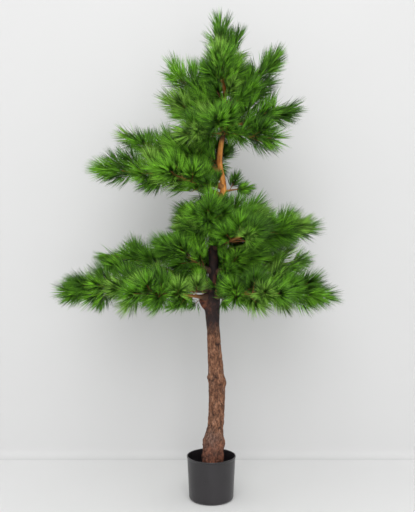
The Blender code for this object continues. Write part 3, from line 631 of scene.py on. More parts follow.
def mass_frame(limb):
    """The foliage's middle, its half sizes, and the directions that they lie along."""
    start = stem_span(limb)[0]
    middle, direction = along(limb, (start + limb.length) / 2)
    side = np.cross(direction, UP)
    side = np.array((1.0, 0.0, 0.0)) if np.linalg.norm(side) < UPRIGHT else side
    side = unit(side - side @ direction * direction)
    halves = np.array(((limb.length - start) / 2, limb.width / 2, limb.thick / 2))
    return middle, halves, np.array((direction, side, np.cross(side, direction)))


print("its needled stem runs from", np.round(stem_span(LIMBS[0])[:2], 3), "m along it")

# %% [markdown]
# ## Brushes: shoots, and the finer shoots that fork from them
#
# The frame's rule puts a shoot at each golden-angle turn along the stem and ends it on the ellipsoid, leaning
# upward and along the limb. The same rule and seeds run again here, so every brush of the frame is there.
# Then it goes one step finer: a side twig leaves a shoot and carries a brush of its own, if that fits within
# the same ellipsoid. Growing it this way keeps the outline while the inside fills up. The highest tips and
# the lone sprig on the right are left unforked, as they stand out one by one. Short brushes also sit on the
# bare boughs and on the stem inside the crown, where a gap would be left.

# %% Shoots by the frame's rule
GOLDEN_ANGLE = pi * (3 - sqrt(5))
SEED = 7
END_TWIG = 0.012
ROOTS_FROM, ROOTS_TO, LEVELS_FROM, LEVELS_TO, LEVEL_STRAY = 0.08, 0.88, -0.80, 0.75, 0.06
SHOOT_LIFT, SHOOT_SWEEP = 0.30, 0.25


def shoots_of(limb, rng):
    """(root, start of the brush, aim) of each shoot: turned by the golden angle, ending on the ellipsoid."""
    middle, halves, axes = mass_frame(limb)
    start, end, _, reach = stem_span(limb)
    tip, tip_direction = along(limb, end)
    found = [(along(limb, end - END_TWIG)[0], tip, tip_direction)]
    turn = rng.uniform(0, 2 * pi)
    for k in range(limb.brushes):
        share = (k + 0.5) / limb.brushes
        turn += GOLDEN_ANGLE
        root, direction = along(limb, start + (end - start) * (ROOTS_FROM + (ROOTS_TO - ROOTS_FROM) * share))
        level = LEVELS_FROM + (LEVELS_TO - LEVELS_FROM) * share + rng.uniform(-LEVEL_STRAY, LEVEL_STRAY)
        girth = sqrt(max(0.0, 1 - level**2))
        target = middle + (halves * (level, girth * np.cos(turn), girth * np.sin(turn))) @ axes
        aim = unit(unit(target - root) + SHOOT_LIFT * UP + SHOOT_SWEEP * direction)
        twig_end = target - reach * aim
        if (twig_end - root) @ aim < END_TWIG:
            twig_end = root + END_TWIG * aim
        found.append((root, twig_end, aim))
    return found


print("each shoot turns on by", round(GOLDEN_ANGLE * 180 / pi, 1), "degrees")

# %% Side shoots
Shoot = namedtuple("Shoot", "root end aim scale grade")
UNFORKED = (LEADER, "crown_side", "upper_right")  # limbs that end in single brushes
FORK_AT = (0.35, 0.85)  # along the parent's twig
FORK_ANGLE = (34, 62)  # from the parent's aim
FORK_LIFT = 0.18  # how far the aim is turned up
FORK_TWIG, FORK_SCALE = (0.018, 0.045), (0.88, 1.0)
FORK_DRAWN = (1.0, 0.8, 0.6, 0.4)  # shares of the twig, tried until the brush fits
FORK_SMALLEST, FORK_REACH = 0.72, 0.93  # a brush's scale at no twig, and its reach against its full length
OUTLINE_ROOM = 0.98  # brushes may end this far out, against the ellipsoid


def turned_out(direction, turn, guide=UP):
    """Square to a direction, at a turn round it that starts level: cos(turn) * side + sin(turn) * other."""
    side = unit(np.cross(direction, guide))
    return np.cos(turn) * side + np.sin(turn) * np.cross(side, direction)


def inside_share(point, frame_of_mass):
    """How far out a point is: 0 at the ellipsoid's middle and 1 on its skin."""
    middle, halves, axes = frame_of_mass
    return float(np.linalg.norm(axes @ (point - middle) / halves))


def fork_of(shoot, turn, frame_of_mass, rng):
    """A side shoot from a shoot's twig, at a turn round it and an angle to it, or none if it can't fit."""
    guide = UP + 0.01 * rng.normal(size=3)
    outward = turned_out(shoot.aim, turn + rng.uniform(-0.5, 0.5), guide)
    spread = radians(rng.uniform(*FORK_ANGLE))
    aim = unit(np.cos(spread) * shoot.aim + np.sin(spread) * outward + FORK_LIFT * UP)
    root = shoot.root + (shoot.end - shoot.root) * rng.uniform(*FORK_AT)
    for drawn in FORK_DRAWN:
        end = root + aim * drawn * rng.uniform(*FORK_TWIG)
        scale = shoot.scale * (FORK_SMALLEST + (1 - FORK_SMALLEST) * drawn) * rng.uniform(*FORK_SCALE)
        reach = scale * (NEEDLE_LENGTH + BRUSH_LENGTH) * FORK_REACH
        if inside_share(end + reach * aim, frame_of_mass) < OUTLINE_ROOM:
            return Shoot(root, end, aim, scale, 1)
    return None


print("side shoots leave at", FORK_ANGLE, "degrees")

# %% Shoots on bare boughs and on the bare stem
INNER_AT, INNER_ROOM = (0.30, 0.44, 0.58, 0.72, 0.86, 1.0), 0.012
INNER_ALONG, INNER_OUT, INNER_LIFT = 0.55, 0.75, 0.30  # the parts of the aim
INNER_TWIG, INNER_SCALE = (0.015, 0.035), (0.72, 0.86)
STEM_GROUP, STEM_SHOOTS, STEM_FIRST_TURN, STEM_LIFT = "crown_stem", 17, 0.9, 0.65
STEM_SHOOTS_FROM, STEM_SHOOTS_TO = 1.40, 1.57
STEM_TWIG, STEM_SCALE = (0.020, 0.042), (0.74, 0.88)


def trunk_room(points):
    """How far points are from the trunk's surface, level with them."""
    axis, radius = trunk_curve(np.clip(points[..., 2], TRUNK_FOOT, TRUNK_TIP))
    return np.linalg.norm((points - axis)[..., :2], axis=-1) - radius


def inner_shoots(limb, rng):
    """Shoots on the bare bough, which hide it: along it, turned by the golden angle, leaning outward."""
    found = []
    turn = rng.uniform(0, 2 * pi)
    for share in INNER_AT:
        root, direction = along(limb, limb.length * limb.bare * share)
        turn += GOLDEN_ANGLE
        aim = unit(INNER_ALONG * direction + INNER_OUT * turned_out(direction, turn) + INNER_LIFT * UP)
        end = root + aim * rng.uniform(*INNER_TWIG)
        if trunk_room(end[None])[0] > INNER_ROOM:
            found.append(Shoot(root, end, aim, rng.uniform(*INNER_SCALE), 1))
    return found


def stem_shoots(rng):
    """Shoots round the upper stem between the crown's boughs, turned by the golden angle, leaning up."""
    found = []
    for k in range(STEM_SHOOTS):
        height = STEM_SHOOTS_FROM + (STEM_SHOOTS_TO - STEM_SHOOTS_FROM) * (k + 0.5) / STEM_SHOOTS
        axis = trunk_curve(np.array([height]))[0][0]
        turn = STEM_FIRST_TURN + GOLDEN_ANGLE * k
        aim = unit(np.array((np.cos(turn), np.sin(turn), STEM_LIFT)))
        end = axis + aim * rng.uniform(*STEM_TWIG)
        found.append(Shoot(axis, end, aim, rng.uniform(*STEM_SCALE), 1))
    return found


print("up to", len(INNER_AT), "short shoots on a bare bough, and", STEM_SHOOTS, "on the stem")


# %% Every shoot
def grow(limb, index):
    """All the shoots of a limb, the frame's own first."""
    frame_of_mass = mass_frame(limb)
    scale = stem_span(limb)[2]
    main = [Shoot(*found, scale, 0) for found in shoots_of(limb, np.random.default_rng(SEED + index))]
    rng = np.random.default_rng(SEED + 100 + index)
    forked = [] if limb.name in UNFORKED else main
    side = [fork_of(shoot, rng.uniform(0, 2 * pi), frame_of_mass, rng) for shoot in forked]
    inner = inner_shoots(limb, rng) if limb.bare else []
    return main + [shoot for shoot in side if shoot] + inner


SHOOTS = {limb.name: grow(limb, index) for index, limb in enumerate(LIMBS)}
SHOOTS[STEM_GROUP] = stem_shoots(np.random.default_rng(SEED + 200))
every_shoot = [shoot for shoots in SHOOTS.values() for shoot in shoots]
print(len(every_shoot), "brushes,", sum(shoot.grade == 0 for shoot in every_shoot), "of them the frame's")

# %% [markdown]
# ## Needles
#
# Each brush is a twist of wire with soft plastic needles caught in it in bundles of three, 7 to 9 cm long.
# They stand out from the wire in an open cone, and the last ones fill its end, so a brush reads as a fan
# from every side. A needle is a spindle of three sides that is pointed at both ends and bends at its widest
# place: five places and six faces, closed, facing outward. One array holds every needle of a tier. Greens
# are dealt out by brush, as a factory mixes its film colours. Each green has painted shade at a needle's foot,
# and its tone differs from bundle to bundle, spread wide as painted highlights and shade, which an image on
# needles two millimetres wide could not show. Needles that would cross a small opening are left out, so the
# trunk, a bough or the wall shows there, as it does in the photograph.

# %% Needle finishes
GREENS = (  # name, foot (darkened as painted shade), tip, share of the brushes
    ("needles_deep", (0.020, 0.062, 0.003), (0.125, 0.345, 0.015), 0.22),
    ("needles_middle", (0.030, 0.098, 0.004), (0.212, 0.560, 0.025), 0.36),
    ("needles_bright", (0.043, 0.135, 0.005), (0.303, 0.735, 0.038), 0.28),
    ("needles_pale", (0.057, 0.148, 0.010), (0.440, 0.830, 0.105), 0.14),
)


def needle_finish(name, painted_shade_foot_colour, tip_colour):
    """Film with painted shade at a needle's foot, and a tone from bundle to bundle that is spread wide as
    painted highlights and shade.
    """
    finish = Finish(name, 0.5, specular=0.25)
    # painted shade: the dark foot colour stands for the shade toward the brush's core
    green = finish.ramp(finish.measure("outward"), (
        (0.00, painted_shade_foot_colour), (0.45, tip_colour), (1.00, tip_colour)))
    # painted highlights and shade: each bundle's tone runs from near black to full, far wider than the film's
    # own spread
    tone_and_painted_light_ramp = finish.ramp(finish.measure("tint"), (
        (0.00, (0.05, 0.07, 0.06)), (0.35, (0.30, 0.32, 0.31)),
        (0.80, (0.68, 0.69, 0.70)), (1.00, (1.0, 1.0, 1.0))))
    cloudy = finish.mix(finish.mottle(60, detail=2, contrast=3.0), (0.75, 0.80, 0.70), (1.0, 1.0, 1.0))
    finish.colour(finish.times(finish.times(green, tone_and_painted_light_ramp), cloudy))
    finish.roughness(finish.mottle(120, detail=2), 0.42, 0.62)
    return finish.material


needle_materials = [needle_finish(name, foot, tip) for name, foot, tip, _ in GREENS]
print("greens:", [material.name for material in needle_materials])

# %% Openings in the foliage
EYE = np.array((-0.014, -2.61, 0.972))  # where the photograph was taken from
OPENINGS = (  # x and height of each at the trunk's depth, its half sizes, and its reach:
    # 0.0 opens only the foliage before the trunk's axis, and 1.0 opens all of it
    (-0.004, 0.717, 0.034, 0.026, 0.0),
    (0.006, 0.872, 0.018, 0.064, 0.0),
    (0.096, 0.952, 0.030, 0.013, 0.0),
    (0.036, 1.280, 0.022, 0.050, 0.0),
    (0.042, 1.160, 0.014, 0.022, 0.0),
    (0.047, 1.510, 0.007, 0.012, 0.0),
    (-0.080, 1.122, 0.050, 0.014, 1.0),
    (0.137, 1.674, 0.025, 0.030, 1.0),
    (-0.012, 1.732, 0.012, 0.024, 1.0),
    (0.268, 1.475, 0.028, 0.022, 1.0),
    (0.168, 1.616, 0.020, 0.018, 1.0),
    (-0.184, 1.600, 0.014, 0.022, 1.0),
    (0.282, 1.316, 0.010, 0.020, 1.0),
    (-0.370, 0.940, 0.024, 0.015, 1.0),
    (-0.408, 0.920, 0.020, 0.013, 1.0),
    (-0.302, 1.372, 0.026, 0.009, 1.0),
    (-0.132, 0.664, 0.090, 0.018, 1.0),
    (0.284, 0.884, 0.026, 0.008, 1.0),
    (-0.045, 0.745, 0.015, 0.020, 1.0),
    (-0.138, 1.384, 0.018, 0.012, 1.0),
)
RAGGED = 0.007  # spread of an opening's edge, needle by needle, where it goes right through


def in_opening(points, rng):
    """Whether points are in an opening, which is where (across / half width)^4 + (up / half height)^4 < 1.

    Points are measured where they show at the trunk's depth. Each needle has its own small shift, so that an
    edge against the wall isn't a straight cut."""
    seen = EYE + (points - EYE) * -EYE[1] / (points[..., 1:2] - EYE[1])
    shift = RAGGED * rng.normal(size=(*points.shape[1:3], 2))
    inside = np.zeros(points.shape[:-1], dtype=bool)
    for x, height, half_width, half_height, reach in OPENINGS:
        level = (seen[..., 0] + reach * shift[..., 0] - x) / half_width
        upright = (seen[..., 2] + reach * shift[..., 1] - height) / half_height
        inside |= (level**4 + upright**4 < 1) & (points[..., 1] < reach)
    return inside


print(len(OPENINGS), "openings")

# %% The needles of a brush
BUNDLES, IN_BUNDLE = 64, 3
NEEDLES = BUNDLES * IN_BUNDLE  # on each brush
CORE = 0.052  # of a brush's length carries needles
SPLAY_FOOT, SPLAY_END = 52, 28  # degrees from the brush's aim: at its foot, and the widest at its end
END_SHARE = 0.72  # bundles past this share of the core fill the cone
LENGTHS = (0.86, 1.08)  # shares of NEEDLE_LENGTH
SHARE_STRAY, TURN_STRAY, SPLAY_STRAY, HEADING_STRAY = 0.012, 0.2, 4, 0.075
BEND_AT = 0.42  # of a needle's length
BEND_AHEAD, BEND_LIFT, BEND_STRAY = 0.20, 0.05, 0.03  # how its tip turns: to the brush's aim, up, and at random


def across(directions):
    """Two directions square to each given one."""
    guide = np.where(np.abs(directions[..., 2:]) < 0.9, UP, np.array((1.0, 0.0, 0.0)))
    side = unit(np.cross(directions, guide))
    return side, np.cross(directions, side)


def needle_lines(starts, aims, scales, rng):
    """Foot, bend and tip of each brush's needles, each (brushes, NEEDLES, 3), and the bundles' tones, spread
    wide as painted highlights and shade.

    Bundles climb the core while their azimuth turns by the golden angle. A bundle's splay lies on a cone that
    narrows evenly, or inside it, by the root of a random share, in the brush's end."""
    each_bundle = (len(starts), BUNDLES)
    share = np.clip((np.arange(BUNDLES) + 0.5) / BUNDLES + rng.normal(0, SHARE_STRAY, each_bundle), 0, 1)
    turn = np.arange(BUNDLES) * GOLDEN_ANGLE + rng.uniform(0, 2 * pi, (len(starts), 1))
    turn = turn + rng.normal(0, TURN_STRAY, each_bundle)
    cone = SPLAY_FOOT + (SPLAY_END - SPLAY_FOOT) * share
    filled = np.where(share > END_SHARE, np.sqrt(rng.uniform(0, 1, each_bundle)), 1)
    splay = np.radians(cone * filled + rng.normal(0, SPLAY_STRAY, each_bundle))
    share, turn, splay = (np.repeat(v, IN_BUNDLE, axis=1) for v in (share, turn, splay))
    lengths = NEEDLE_LENGTH * scales[:, None] * rng.uniform(*LENGTHS, share.shape)
    side, other = across(aims)
    outward = np.cos(turn)[..., None] * side[:, None] + np.sin(turn)[..., None] * other[:, None]
    aims = aims[:, None]
    heading = np.cos(splay)[..., None] * aims + np.sin(splay)[..., None] * outward
    heading = unit(heading + HEADING_STRAY * rng.normal(size=heading.shape))
    foot = starts[:, None] + aims * (CORE * scales[:, None] * share)[..., None]
    bend = foot + heading * (BEND_AT * lengths)[..., None]
    stray = BEND_STRAY * rng.normal(size=heading.shape)
    later = unit(heading + BEND_AHEAD * aims + BEND_LIFT * UP + stray)
    # a random tone for each bundle, read by the material as painted highlights and shade
    tint = np.repeat(rng.uniform(0, 1, each_bundle), IN_BUNDLE, axis=1)
    return foot, bend, bend + later * ((1 - BEND_AT) * lengths)[..., None], tint


print(NEEDLES, "needles to a brush")

# %% Needles as closed slivers
NEEDLE_RADIUS = 0.00099
TRUNK_CLEAR = 0.002  # needles keep this far from the trunk
BOX_ROOM = 0.020  # tips stay inside the frame's box grown by this
THINNING = 0.25  # a brush keeps a share of its needles: its scale plus this
SLIVER = np.array(((0, 2, 1), (0, 3, 2), (0, 1, 3), (1, 2, 4), (2, 3, 4), (3, 1, 4)))


def needles_of(shoots, rng):
    """Places, faces, colour picks, outward shares and bundle tones of all the needles on some shoots; the
    outward shares carry painted shade at the foot, and the tones painted highlights and shade.

    place = the foot, three at bend + radius * (cos, sin) square to the needle, and the tip."""
    starts, aims, scales = (np.array([getattr(s, key) for s in shoots]) for key in ("end", "aim", "scale"))
    foot, bend, tip, tint = needle_lines(starts, aims, scales, rng)
    picks = rng.choice(len(GREENS), len(shoots), p=[green[3] for green in GREENS])
    picks = np.repeat(picks[:, None], NEEDLES, axis=1)
    tip = np.clip(tip, np.array(CAD_LOW) - BOX_ROOM, np.array(CAD_HIGH) + BOX_ROOM)
    lines = np.stack((foot, (foot + bend) / 2, bend, (bend + tip) / 2, tip))
    kept = (trunk_room(lines) > TRUNK_CLEAR).all(axis=0) & ~in_opening(lines, rng).any(axis=0)
    kept &= rng.uniform(0, 1, kept.shape) < np.minimum(1, scales[:, None] + THINNING)
    foot, bend, tip, picks, tint = foot[kept], bend[kept], tip[kept], picks[kept], tint[kept]
    side, other = across(unit(tip - foot))
    angles = 2 * pi * np.arange(3)[:, None] / 3
    ring = NEEDLE_RADIUS * (np.cos(angles) * side[:, None] + np.sin(angles) * other[:, None])
    places = np.concatenate((foot[:, None], bend[:, None] + ring, tip[:, None]), axis=1)
    faces = (SLIVER + 5 * np.arange(len(foot))[:, None, None]).reshape(-1, 3)
    # each place's share along its needle, which the material reads for the painted shade at the foot
    outward = np.tile((0, BEND_AT, BEND_AT, BEND_AT, 1.0), len(foot))
    return places.reshape(-1, 3), faces, np.repeat(picks, 6), outward, np.repeat(tint, 5)


# %% Needle pieces, tier by tier
CROWN_HIGH = ("crown_upper", "crown_side", LEADER)
TIERS = {
    "lower_left": [name for name in SHOOTS if name.startswith("lower_left")],
    "lower_right": [name for name in SHOOTS if name.startswith(("lower_right", "lower_back"))],
    "middle": [name for name in SHOOTS if name.startswith("middle")],
    "upper": [name for name in SHOOTS if name.startswith("upper")],
    "crown_low": [name for name in SHOOTS if name.startswith("crown") and not name.startswith(CROWN_HIGH)],
    "crown_high": [name for name in SHOOTS if name.startswith(CROWN_HIGH)],
}

needle_pieces = {}
for number, (tier, limb_names) in enumerate(TIERS.items()):
    shoots = [shoot for limb_name in limb_names for shoot in SHOOTS[limb_name]]
    places, faces, picks, outward, tint = needles_of(shoots, np.random.default_rng(SEED + 300 + number))
    piece = mesh_from(f"needles_{tier}", places, [faces], needle_materials, picks)
    # the first measure carries the painted shade at the foot; the second, bundle tone with painted highlights
    # and shade
    add_measure(piece, "outward", outward)
    add_measure(piece, "tint", tint)
    needle_pieces[tier] = piece

# %% [markdown]
# ## Boughs, stems and twigs
#
# The arms are wire in an orange-brown skin. One tube runs from inside the trunk to the start of the last
# brush. It flares where it leaves the trunk, and its skin is slightly ridged. The low limbs start in dark
# tape. Twigs are plain thin tubes that bow a little. The core of each brush is the same twig carried on, and
# it shows between the needles near the brush's foot, as the photograph has it.

# %% The limb wrap
wrap = Finish("stem_bark", 0.8, specular=0.3)
skin_colour = wrap.ramp(wrap.mottle(60, stretch=0.9, detail=5, contrast=2.4), (
    (0.00, (0.105, 0.036, 0.016)), (0.45, (0.290, 0.120, 0.036)), (1.00, (0.470, 0.225, 0.075))))
tape_colour = wrap.ramp(wrap.mottle(60, contrast=2.0), (
    (0.00, (0.028, 0.017, 0.013)), (1.00, (0.105, 0.052, 0.030))))
wrap.colour(wrap.mix(wrap.measure("taped"), skin_colour, tape_colour))
wrap.roughness(wrap.mottle(90), 0.62, 0.9)
wrap.bump(wrap.mottle(330, detail=5, contrast=2.0), 0.0008, 0.6)
print("wrap has", len(wrap.nodes), "nodes")

# %% Boughs and stems
BOUGH_ROWS, BOUGH_SIDES = 64, 16
BOUGH_ROOT_RADIUS, BOUGH_TIP_RADIUS, STEM_TIP_RADIUS, CROWN_STEM_RADIUS = 0.0095, 0.0050, 0.0024, 0.0036
FLARE, FLARE_LENGTH, RIDGES = 0.45, 0.012, 0.16  # flare and ridges are shares of the radius
LOW_LIMBS = (1.00, 1.09)  # root heights: limbs under the first start in dark tape, and none over the second
TAPE_ENDS = (0.04, 0.10)  # from the trunk's axis, where that tape gives way


def bough_tube(limb, seed):
    """A limb's path, and radius = taper * (1 + flare) * (1 + ridges), row by row.

    The taper runs straight between the radii at the root, the bough's end and the stem's tip. The flare falls
    off with the distance from the root, as e^(-distance / FLARE_LENGTH)."""
    start, end = stem_span(limb)[:2]
    distances = np.linspace(0, end, BOUGH_ROWS)
    path = along(limb, distances)[0]
    root = root_distance(limb)
    if limb.bare:
        places = (root, limb.length * limb.bare, end)
        root_radius = BOUGH_ROOT_RADIUS * (0.75 + 0.5 * limb.length)
        radii = np.interp(distances, places, (root_radius, BOUGH_TIP_RADIUS, STEM_TIP_RADIUS))
    else:
        radii = np.interp(distances, (start, end), (CROWN_STEM_RADIUS, STEM_TIP_RADIUS))
    radii = radii * (1 + FLARE * np.exp(-np.clip(distances - root, 0, 1) / FLARE_LENGTH))
    turns, share = np.meshgrid(np.arange(BOUGH_SIDES) / BOUGH_SIDES, distances / limb.length)
    ridged = layered_noise(turns, share, 4, int(60 * limb.length) + 4, seed, layers=3, fade=0.6)
    return path, radii[:, None] * (1 + RIDGES * ridged)


limb_paths, limb_radii = zip(*(bough_tube(limb, 500 + i) for i, limb in enumerate(LIMBS)))
limb_paths = np.array(limb_paths)
bough_piece = mesh_from("limbs", *tubes(limb_paths, np.array(limb_radii), BOUGH_SIDES), [wrap.material])
from_trunk = np.linalg.norm(limb_paths - limb_paths[:, :1], axis=-1)
low_limb = 1 - smooth_step(np.array([limb.height for limb in LIMBS]), *LOW_LIMBS)
taped = low_limb[:, None] * (1 - smooth_step(from_trunk, *TAPE_ENDS))
taped = np.hstack((np.repeat(taped, BOUGH_SIDES, axis=1), taped[:, :1], taped[:, -1:]))
add_measure(bough_piece, "taped", taped)

# %% Twigs
TWIG_ROWS, TWIG_SIDES, TWIG_BOW = 6, 5, 0.10
TWIG_RADII = (0.0019, 0.0013)  # the frame's shoots, and the finer ones
TWIG_MIDDLE = 0.55  # where its bow is pulled from
TWIG_TAPER = np.array((1.0, 0.95, 0.9, 0.85, 0.7, 0.45))  # row by row


def twig_path(shoot):
    """From the root, bowed below the straight line, to the brush's start, and on along its core."""
    straight = shoot.end - shoot.root
    reach = np.linalg.norm(straight)
    bend = shoot.root + TWIG_MIDDLE * straight - TWIG_BOW * reach * (shoot.aim - straight / reach)
    t = np.linspace(0, 1, TWIG_ROWS - 2)[:, None]
    curve = (1 - t) ** 2 * shoot.root + 2 * t * (1 - t) * bend + t**2 * shoot.end
    core = shoot.end + shoot.aim * CORE * shoot.scale * np.array((0.5, 1.0))[:, None]
    return np.vstack((curve, core))


twig_paths = np.array([twig_path(shoot) for shoot in every_shoot])
thick = np.array([TWIG_RADII[shoot.grade] for shoot in every_shoot])
twig_piece = mesh_from("twigs", *tubes(twig_paths, thick[:, None] * TWIG_TAPER, TWIG_SIDES), [wrap.material])

# %% [markdown]
# ## The pot
#
# A thin nursery pot, thermoformed from black plastic, with a plain rolled lip and a rounded foot. Its section
# is a profile of radius against height, from the middle of the underside, up the outside, over the lip and
# down inside to the middle of the floor. Turned round the axis it is one closed surface. The plastic is
# half matt, slightly dusty, and scuffed by handling.

# %% The pot's profile
POT_HEIGHT, POT_RIM_RADIUS, POT_BASE_RADIUS = 0.160, 0.0905, 0.0815
POT_WALL, POT_FLOOR, POT_FOOT_ROUND = 0.0028, 0.0040, 0.0110
POT_LIP_WIDTH, POT_LIP_DEPTH = 0.0012, 0.0050


def pot_radius(height):
    """The outer wall's radius: straight from the base's to the rim's, less the lip."""
    return POT_BASE_RADIUS + (POT_RIM_RADIUS - POT_LIP_WIDTH - POT_BASE_RADIUS) * height / POT_HEIGHT


def arc(centre, radius, start, end, steps):
    """Points of a circle about centre, (radius, height), between two angles in degrees."""
    angles = np.radians(np.linspace(start, end, steps))
    return np.stack((centre[0] + radius * np.cos(angles), centre[1] + radius * np.sin(angles)), axis=1)


def straight(first, last, steps):
    """Points between two profile points, without the two themselves."""
    share = np.linspace(0, 1, steps + 2)[1:-1, None]
    return np.array(first) + (np.array(last) - np.array(first)) * share


def pot_profile():
    """(radius, height) along the pot's section, from the underside's middle to the inner floor's middle."""
    foot_radius = pot_radius(POT_FOOT_ROUND)
    foot = arc((foot_radius - POT_FOOT_ROUND, POT_FOOT_ROUND), POT_FOOT_ROUND, -90, 0, 10)
    lip_low = POT_HEIGHT - POT_LIP_DEPTH
    under_lip = (pot_radius(lip_low), lip_low)
    out, in_round = POT_RIM_RADIUS - POT_LIP_WIDTH, POT_LIP_WIDTH / 2
    lip = np.vstack((arc((out, lip_low + POT_LIP_WIDTH), POT_LIP_WIDTH, -75, 0, 4),
                     arc((out, POT_HEIGHT - POT_LIP_WIDTH), POT_LIP_WIDTH, 0, 90, 6),
                     arc((out - POT_WALL + in_round, POT_HEIGHT - in_round), in_round, 90, 180, 4)))
    inner_round = POT_FOOT_ROUND - POT_WALL
    inner = arc((foot_radius - POT_WALL - inner_round, POT_FLOOR + inner_round), inner_round, 0, -90, 8)
    return np.vstack((straight((0, 0), foot[0], 6), foot, straight(foot[-1], under_lip, 26), [under_lip], lip,
                      straight(lip[-1], inner[0], 22), inner, straight(inner[-1], (0, POT_FLOOR), 5)))


print("the pot's profile has", len(pot_profile()), "points")


# %% The pot, turned round its axis
POT_SEGMENTS = 224


def turned(profile, segments, relief=0.0):
    """place = (r cos a, r sin a, h) for each profile point and angle, with relief added to the height."""
    angles = 2 * pi * np.arange(segments) / segments
    radius, height = profile[:, :1], profile[:, 1:] + relief
    grid = np.stack((radius * np.cos(angles), radius * np.sin(angles), height + 0 * angles), axis=-1)
    ends = np.array(((0, 0, grid[0, :, 2].mean()), (0, 0, grid[-1, :, 2].mean())))
    return np.vstack((grid.reshape(-1, 3), ends)), tube_faces(len(profile), segments)


plastic = Finish("pot_plastic", 0.4, specular=0.6)
dusty = plastic.mix(plastic.mottle(9, detail=5, contrast=2.5), (0.013, 0.011, 0.013), (0.021, 0.018, 0.021))
scuffs = plastic.mottle(60, stretch=0.2, contrast=3.0)
plastic.colour(plastic.mix(scuffs, dusty, (0.80, 0.80, 0.80), way="MULTIPLY"))
plastic.roughness(plastic.mottle(25, detail=5, contrast=2.0), 0.26, 0.38)
plastic.bump(plastic.mottle(420, detail=3), 0.0004, 0.35)
pot_piece = mesh_from("pot_shell", *turned(pot_profile(), POT_SEGMENTS), [plastic.material])

# %% [markdown]
# ## The ballast
#
# The pot is cast full of dark cement to five centimetres under the lip, which is what keeps a tall artificial
# tree standing. Only its rough top shows. It is the same kind of turned surface, with noise added to its
# height. The noise fades to nothing in the middle, where every row meets in one point under the log.

# %% The ballast's surface
BALLAST_TOP, BALLAST_SUNK = 0.110, 0.001  # the rough top's mean level lies this far under the frame's
BALLAST_SEGMENTS, BALLAST_ROWS, EDGE_ROWS = 160, 44, 6
PLUG_CLEAR, PLUG_FOOT_CLEAR, PLUG_FOOT_ROUND = 0.0004, 0.0006, 0.008
GRAVEL_RISE, CALM_RADIUS = 0.0016, 0.03
plug_radius = pot_radius(BALLAST_TOP) - POT_WALL - PLUG_CLEAR
plug_foot = pot_radius(POT_FOOT_ROUND) - POT_WALL - PLUG_FOOT_CLEAR
plug_level = BALLAST_TOP - BALLAST_SUNK
plug = np.vstack((
    straight((0, POT_FLOOR + GAP), (plug_foot - PLUG_FOOT_ROUND, POT_FLOOR + GAP), 3),
    straight((plug_foot, POT_FLOOR + POT_FOOT_ROUND), (plug_radius, plug_level - BALLAST_SUNK), 8),
    straight((plug_radius, plug_level), (0.0, plug_level), BALLAST_ROWS),
))
row = np.arange(len(plug))
plug_turns, plug_rows = np.meshgrid(np.arange(BALLAST_SEGMENTS) / BALLAST_SEGMENTS, row / len(plug))
gravel = layered_noise(plug_turns, plug_rows, 14, 22, 31, fade=0.62)
first_on_top = len(plug) - BALLAST_ROWS
on_top = smooth_step(row, first_on_top, first_on_top + EDGE_ROWS)[:, None]
rise = GRAVEL_RISE * gravel * on_top * np.clip(plug[:, :1] / CALM_RADIUS, 0, 1)
cement = Finish("ballast", 0.95, specular=0.2)
cement.colour(cement.ramp(cement.mottle(120, detail=6, contrast=2.5), (
    (0.00, (0.008, 0.007, 0.007)), (0.60, (0.020, 0.018, 0.018)), (1.00, (0.050, 0.046, 0.043)))))
cement.bump(cement.mottle(300, detail=6, contrast=2.0), 0.0015, 0.8)
ballast_piece = mesh_from("ballast_top", *turned(plug, BALLAST_SEGMENTS, rise), [cement.material])

# %% [markdown]
# ## What stands for what
#
# Each piece rides on the frame's one body, and the frame's solids that it stands for are hidden. Limbs and
# twigs both stand for stems inside the needle masses.

# %% Ride on the frame's body and hide the solids that are stood for
stands_for = [  # piece, nodes, slot
    *((needle_pieces[tier], [name + "_needles" for name in limb_names if name != STEM_GROUP], "needles")
      for tier, limb_names in TIERS.items()),
    (trunk_piece, ["trunk"], "bark"),
    (bough_piece, [limb.name + "_bough" for limb in LIMBS if limb.bare], "stem_bark"),
    (twig_piece, [limb.name + "_needles" for limb in LIMBS], "stem_bark"),
    (pot_piece, ["pot"], "pot"),
    (ballast_piece, ["ballast"], "ballast"),
]
for piece, nodes, slot in stands_for:
    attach(piece, "root")
    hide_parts(*nodes)
print(len(stands_for), "pieces stand for", len(set().union(*(nodes for _, nodes, _ in stands_for))), "nodes")

# %% [markdown]
# ## The floor and the wall
#
# The photograph is a plain studio picture: a pale wall and a pale floor that meet in a faint soft line close
# behind the pot. Each is a sheet, one profile carried sideways, and the wall's profile curves at its foot,
# where a flat seam would draw a hard edge. The floor is a little paler, as it is in the photograph. The wall
# is clear from behind, so that it doesn't hide the tree from the other side.

# %% Sheets and their paint
def carried_across(profile, half_width, columns=9):
    """A sheet: place = (x, y, z) for every (y, z) of the profile and every x within the half width."""
    grid = np.empty((len(profile), columns, 3))
    grid[..., 0] = np.linspace(-half_width, half_width, columns)
    grid[..., 1:] = profile[:, None]
    return grid.reshape(-1, 3), [grid_quads(len(profile), columns, closed=False)]


def paper_finish(name, shades, one_way=False):
    """Pale, nearly even paint. A one-way sheet is clear from behind, so the tree can be seen from there."""
    paper = Finish(name, 0.9, specular=0.2)
    paper.colour(paper.mix(paper.mottle(1.2, detail=3, contrast=1.2), *shades))
    if one_way:
        sides = paper.nodes.new("ShaderNodeNewGeometry")
        clear = paper.nodes.new("ShaderNodeBsdfTransparent")
        either = paper.nodes.new("ShaderNodeMixShader")
        paper.links.new(sides.outputs["Backfacing"], either.inputs["Fac"])
        paper.links.new(paper.shader.outputs["BSDF"], either.inputs[1])
        paper.links.new(clear.outputs["BSDF"], either.inputs[2])
        paper.links.new(either.outputs["Shader"], paper.nodes["Material Output"].inputs["Surface"])
    return paper.material


